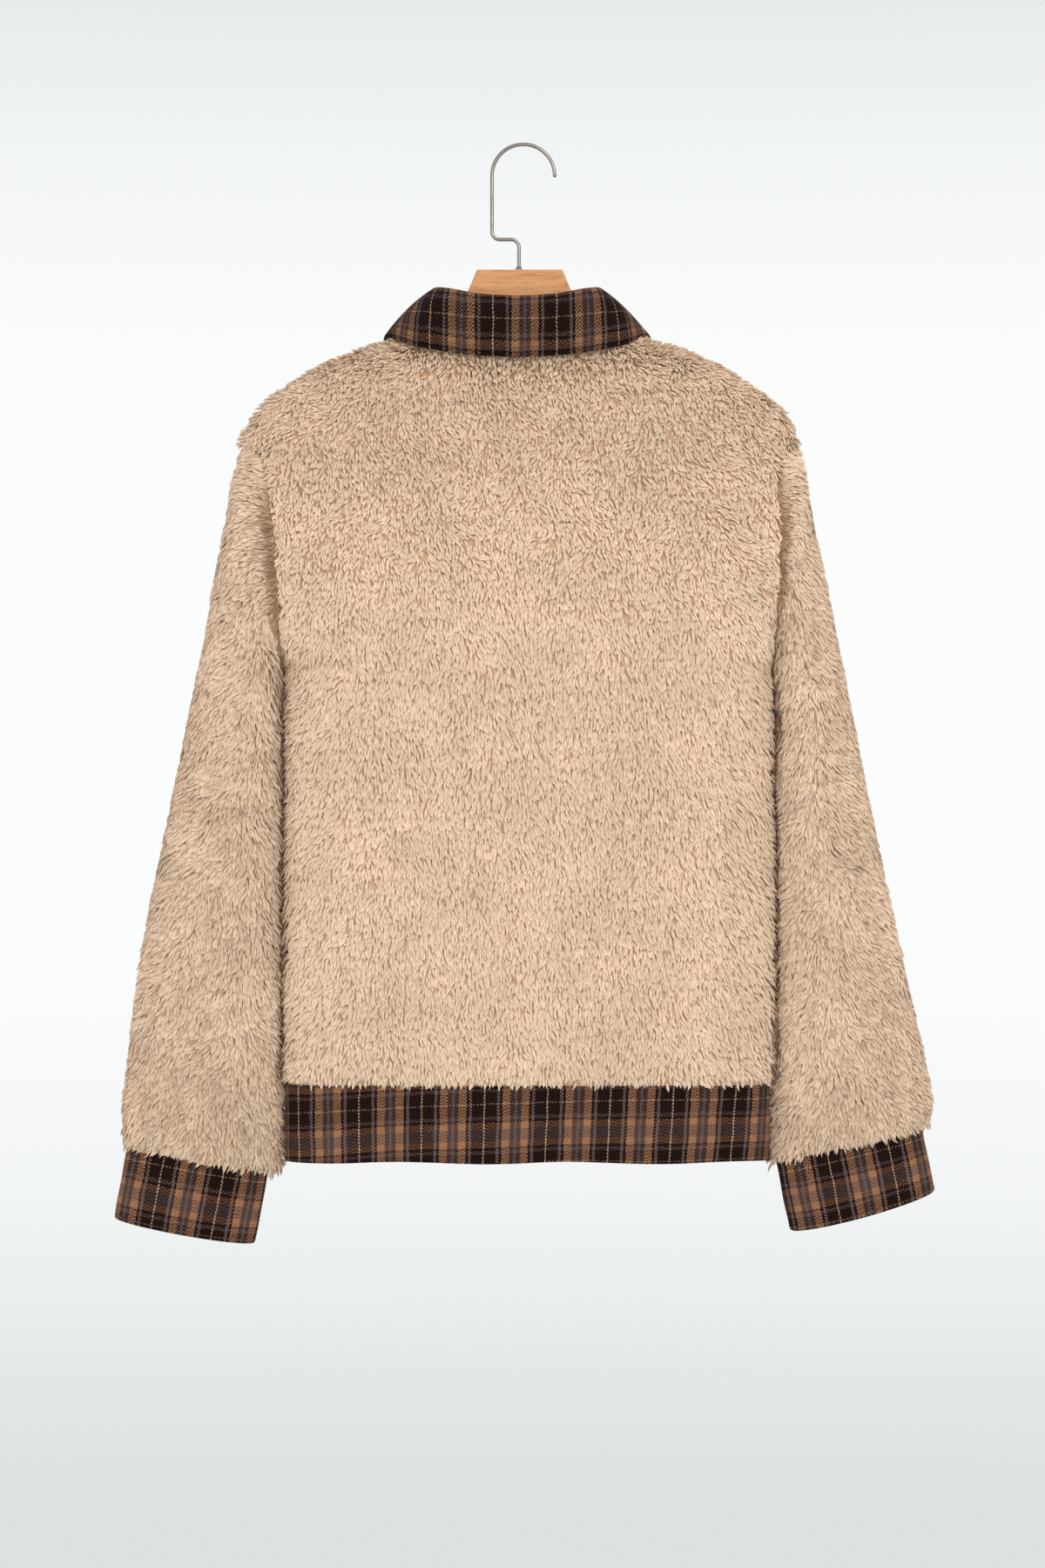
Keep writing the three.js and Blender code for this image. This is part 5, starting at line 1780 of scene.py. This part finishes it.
class PULLOVER_OT_hanger(bpy.types.Operator):
    """Adds the hanger's wire hook and ferrule, and finishes its beech bar"""

    bl_idname = "pullover.add_hanger"
    bl_label = "Hanger"

    def execute(self, context):
        hanger = context.scene.pullover_hanger
        nickel = nickel_material(hanger)
        hook = add_mesh("hook_wire", *tube(wire_route(), WIRE["drawn"], 28))
        finish_piece(hook, "steel", nickel, "hanger_hook")
        inside, outside, height = WIRE["drawn"] + 0.1, FERRULE["radius"], FERRULE["height"] + SEAM
        outline = [(inside, 0), (outside, 0), (outside, 0.5),
                   (mix(inside, outside, 0.45), height * 0.55),
                   (inside + 0.35, height), (inside, height)]
        ring = lathe(rounded(outline, 0.12), (WIRE["stem_x"], 0, WOOD_TOP + 0.02), 48)
        finish_piece(add_mesh("hook_ferrule", *ring), "steel", nickel, "hanger_ferrule")
        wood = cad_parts["hanger_wood"]
        wood.data.materials.clear()
        wood.data.materials.append(beech_material(hanger))
        return {"FINISHED"}


class PULLOVER_OT_stage(bpy.types.Operator):
    """Adds the floor, the soft studio lights and the camera"""

    bl_idname = "pullover.add_stage"
    bl_label = "Stage"

    def execute(self, context):
        stage, scene = context.scene.pullover_stage, context.scene
        scene.view_settings.view_transform = "Standard"
        low, high = CAD_BOX
        middle = Vector((0.5 * (low.x + high.x), 0, VIEW[1]))
        self.add_floor(low.z - FLOOR["drop"], stage)
        for name, light in LIGHTS.items():
            self.add_light(name, light, middle, stage.key_power * light["share"])
        scene.world = self.studio(stage)
        camera = bpy.data.cameras.new("camera")
        camera.sensor_width = 36
        camera.lens = camera.sensor_width * stage.distance / stage.frame_height
        camera.clip_end = 60
        holder = bpy.data.objects.new("camera", camera)
        holder.location = (VIEW[0], -stage.distance, VIEW[1])
        holder.rotation_euler = (np.pi / 2, 0, 0)
        scene.collection.objects.link(holder)
        scene.camera = holder
        return {"FINISHED"}

    def studio(self, stage):
        """A world that lights evenly, and looks palest level with the garment."""
        world = bpy.data.worlds.new("studio")
        world.use_nodes = True
        tree, palest, reach = world.node_tree, 0.03, 0.228
        way = node(tree, "ShaderNodeTexCoord").outputs["Generated"]
        up = node(tree, "ShaderNodeSeparateXYZ", {0: way}).outputs[2]
        off = maths(tree, "DIVIDE", maths(tree, "SUBTRACT", up, palest), reach)
        far = spread(tree, maths(tree, "MULTIPLY", off, off), 0.0, 1.0)
        shown = blend(tree, far, stage.backdrop, stage.backdrop_far)
        seen = node(tree, "ShaderNodeLightPath").outputs["Is Camera Ray"]
        glow = blend(tree, seen, stage.air, shown)
        tree.links.new(glow, tree.nodes["Background"].inputs["Color"])
        return world

    def add_floor(self, height, stage):
        """A round floor below the garment: a disc of one face."""
        radius, sides = FLOOR["radius"], FLOOR["sides"]
        turn = np.arange(sides) / sides * 2 * np.pi
        ring = [radius * np.cos(turn), radius * np.sin(turn), np.full(sides, height)]
        mesh = bpy.data.meshes.new("floor")
        mesh.from_pydata(np.stack(ring, -1), [], [range(sides)])
        floor = bpy.data.objects.new("floor", mesh)
        bpy.context.scene.collection.objects.link(floor)
        material, _, surface = new_material("pale_floor", 0.9)
        surface.inputs["Base Color"].default_value = (*stage.backdrop_far, 1)
        mesh.materials.append(material)

    def add_light(self, name, light, target, power):
        """A square soft light turned to the garment."""
        data = bpy.data.lights.new(name, "AREA")
        data.size, data.energy = light["size"], power
        place = target + Vector(light["place"])
        lamp = bpy.data.objects.new(name, data)
        lamp.location = place
        lamp.rotation_euler = (target - place).to_track_quat("-Z", "Y").to_euler()
        bpy.context.scene.collection.objects.link(lamp)


class PULLOVER_PT_panel(bpy.types.Panel):
    """Lists the pullover's parts and settings"""

    bl_idname = "PULLOVER_PT_panel"
    bl_label = "Fleece Pullover"
    bl_space_type = "VIEW_3D"
    bl_region_type = "UI"
    bl_category = "Pullover"

    def draw(self, context):
        for operator in OPERATORS:
            self.layout.operator(operator.bl_idname)
        for key, group in SETTINGS.items():
            box = self.layout.box()
            settings = getattr(context.scene, key)
            for name in group.__annotations__:
                box.prop(settings, name)


OPERATORS = (
    PULLOVER_OT_stage,
    PULLOVER_OT_panels,
    PULLOVER_OT_sleeves,
    PULLOVER_OT_hem_and_cuffs,
    PULLOVER_OT_collar,
    PULLOVER_OT_stitches,
    PULLOVER_OT_hanger,
)
SETTINGS = {
    "pullover_fleece": PULLOVER_PG_fleece,
    "pullover_plaid": PULLOVER_PG_plaid,
    "pullover_hanger": PULLOVER_PG_hanger,
    "pullover_stage": PULLOVER_PG_stage,
}


def register():
    for group in (*SETTINGS.values(), *OPERATORS, PULLOVER_PT_panel):
        bpy.utils.register_class(group)
    for key, group in SETTINGS.items():
        setattr(bpy.types.Scene, key, bpy.props.PointerProperty(type=group))


def unregister():
    for key in SETTINGS:
        delattr(bpy.types.Scene, key)
    for group in (PULLOVER_PT_panel, *reversed(OPERATORS), *reversed(SETTINGS.values())):
        bpy.utils.unregister_class(group)


def main():
    register()
    bpy.ops.pullover.add_stage()
    bpy.ops.pullover.add_panels()
    bpy.ops.pullover.add_sleeves()
    bpy.ops.pullover.add_hem_and_cuffs()
    bpy.ops.pullover.add_collar()
    bpy.ops.pullover.add_stitches()
    bpy.ops.pullover.add_hanger()


if __name__ == "__main__":
    main()
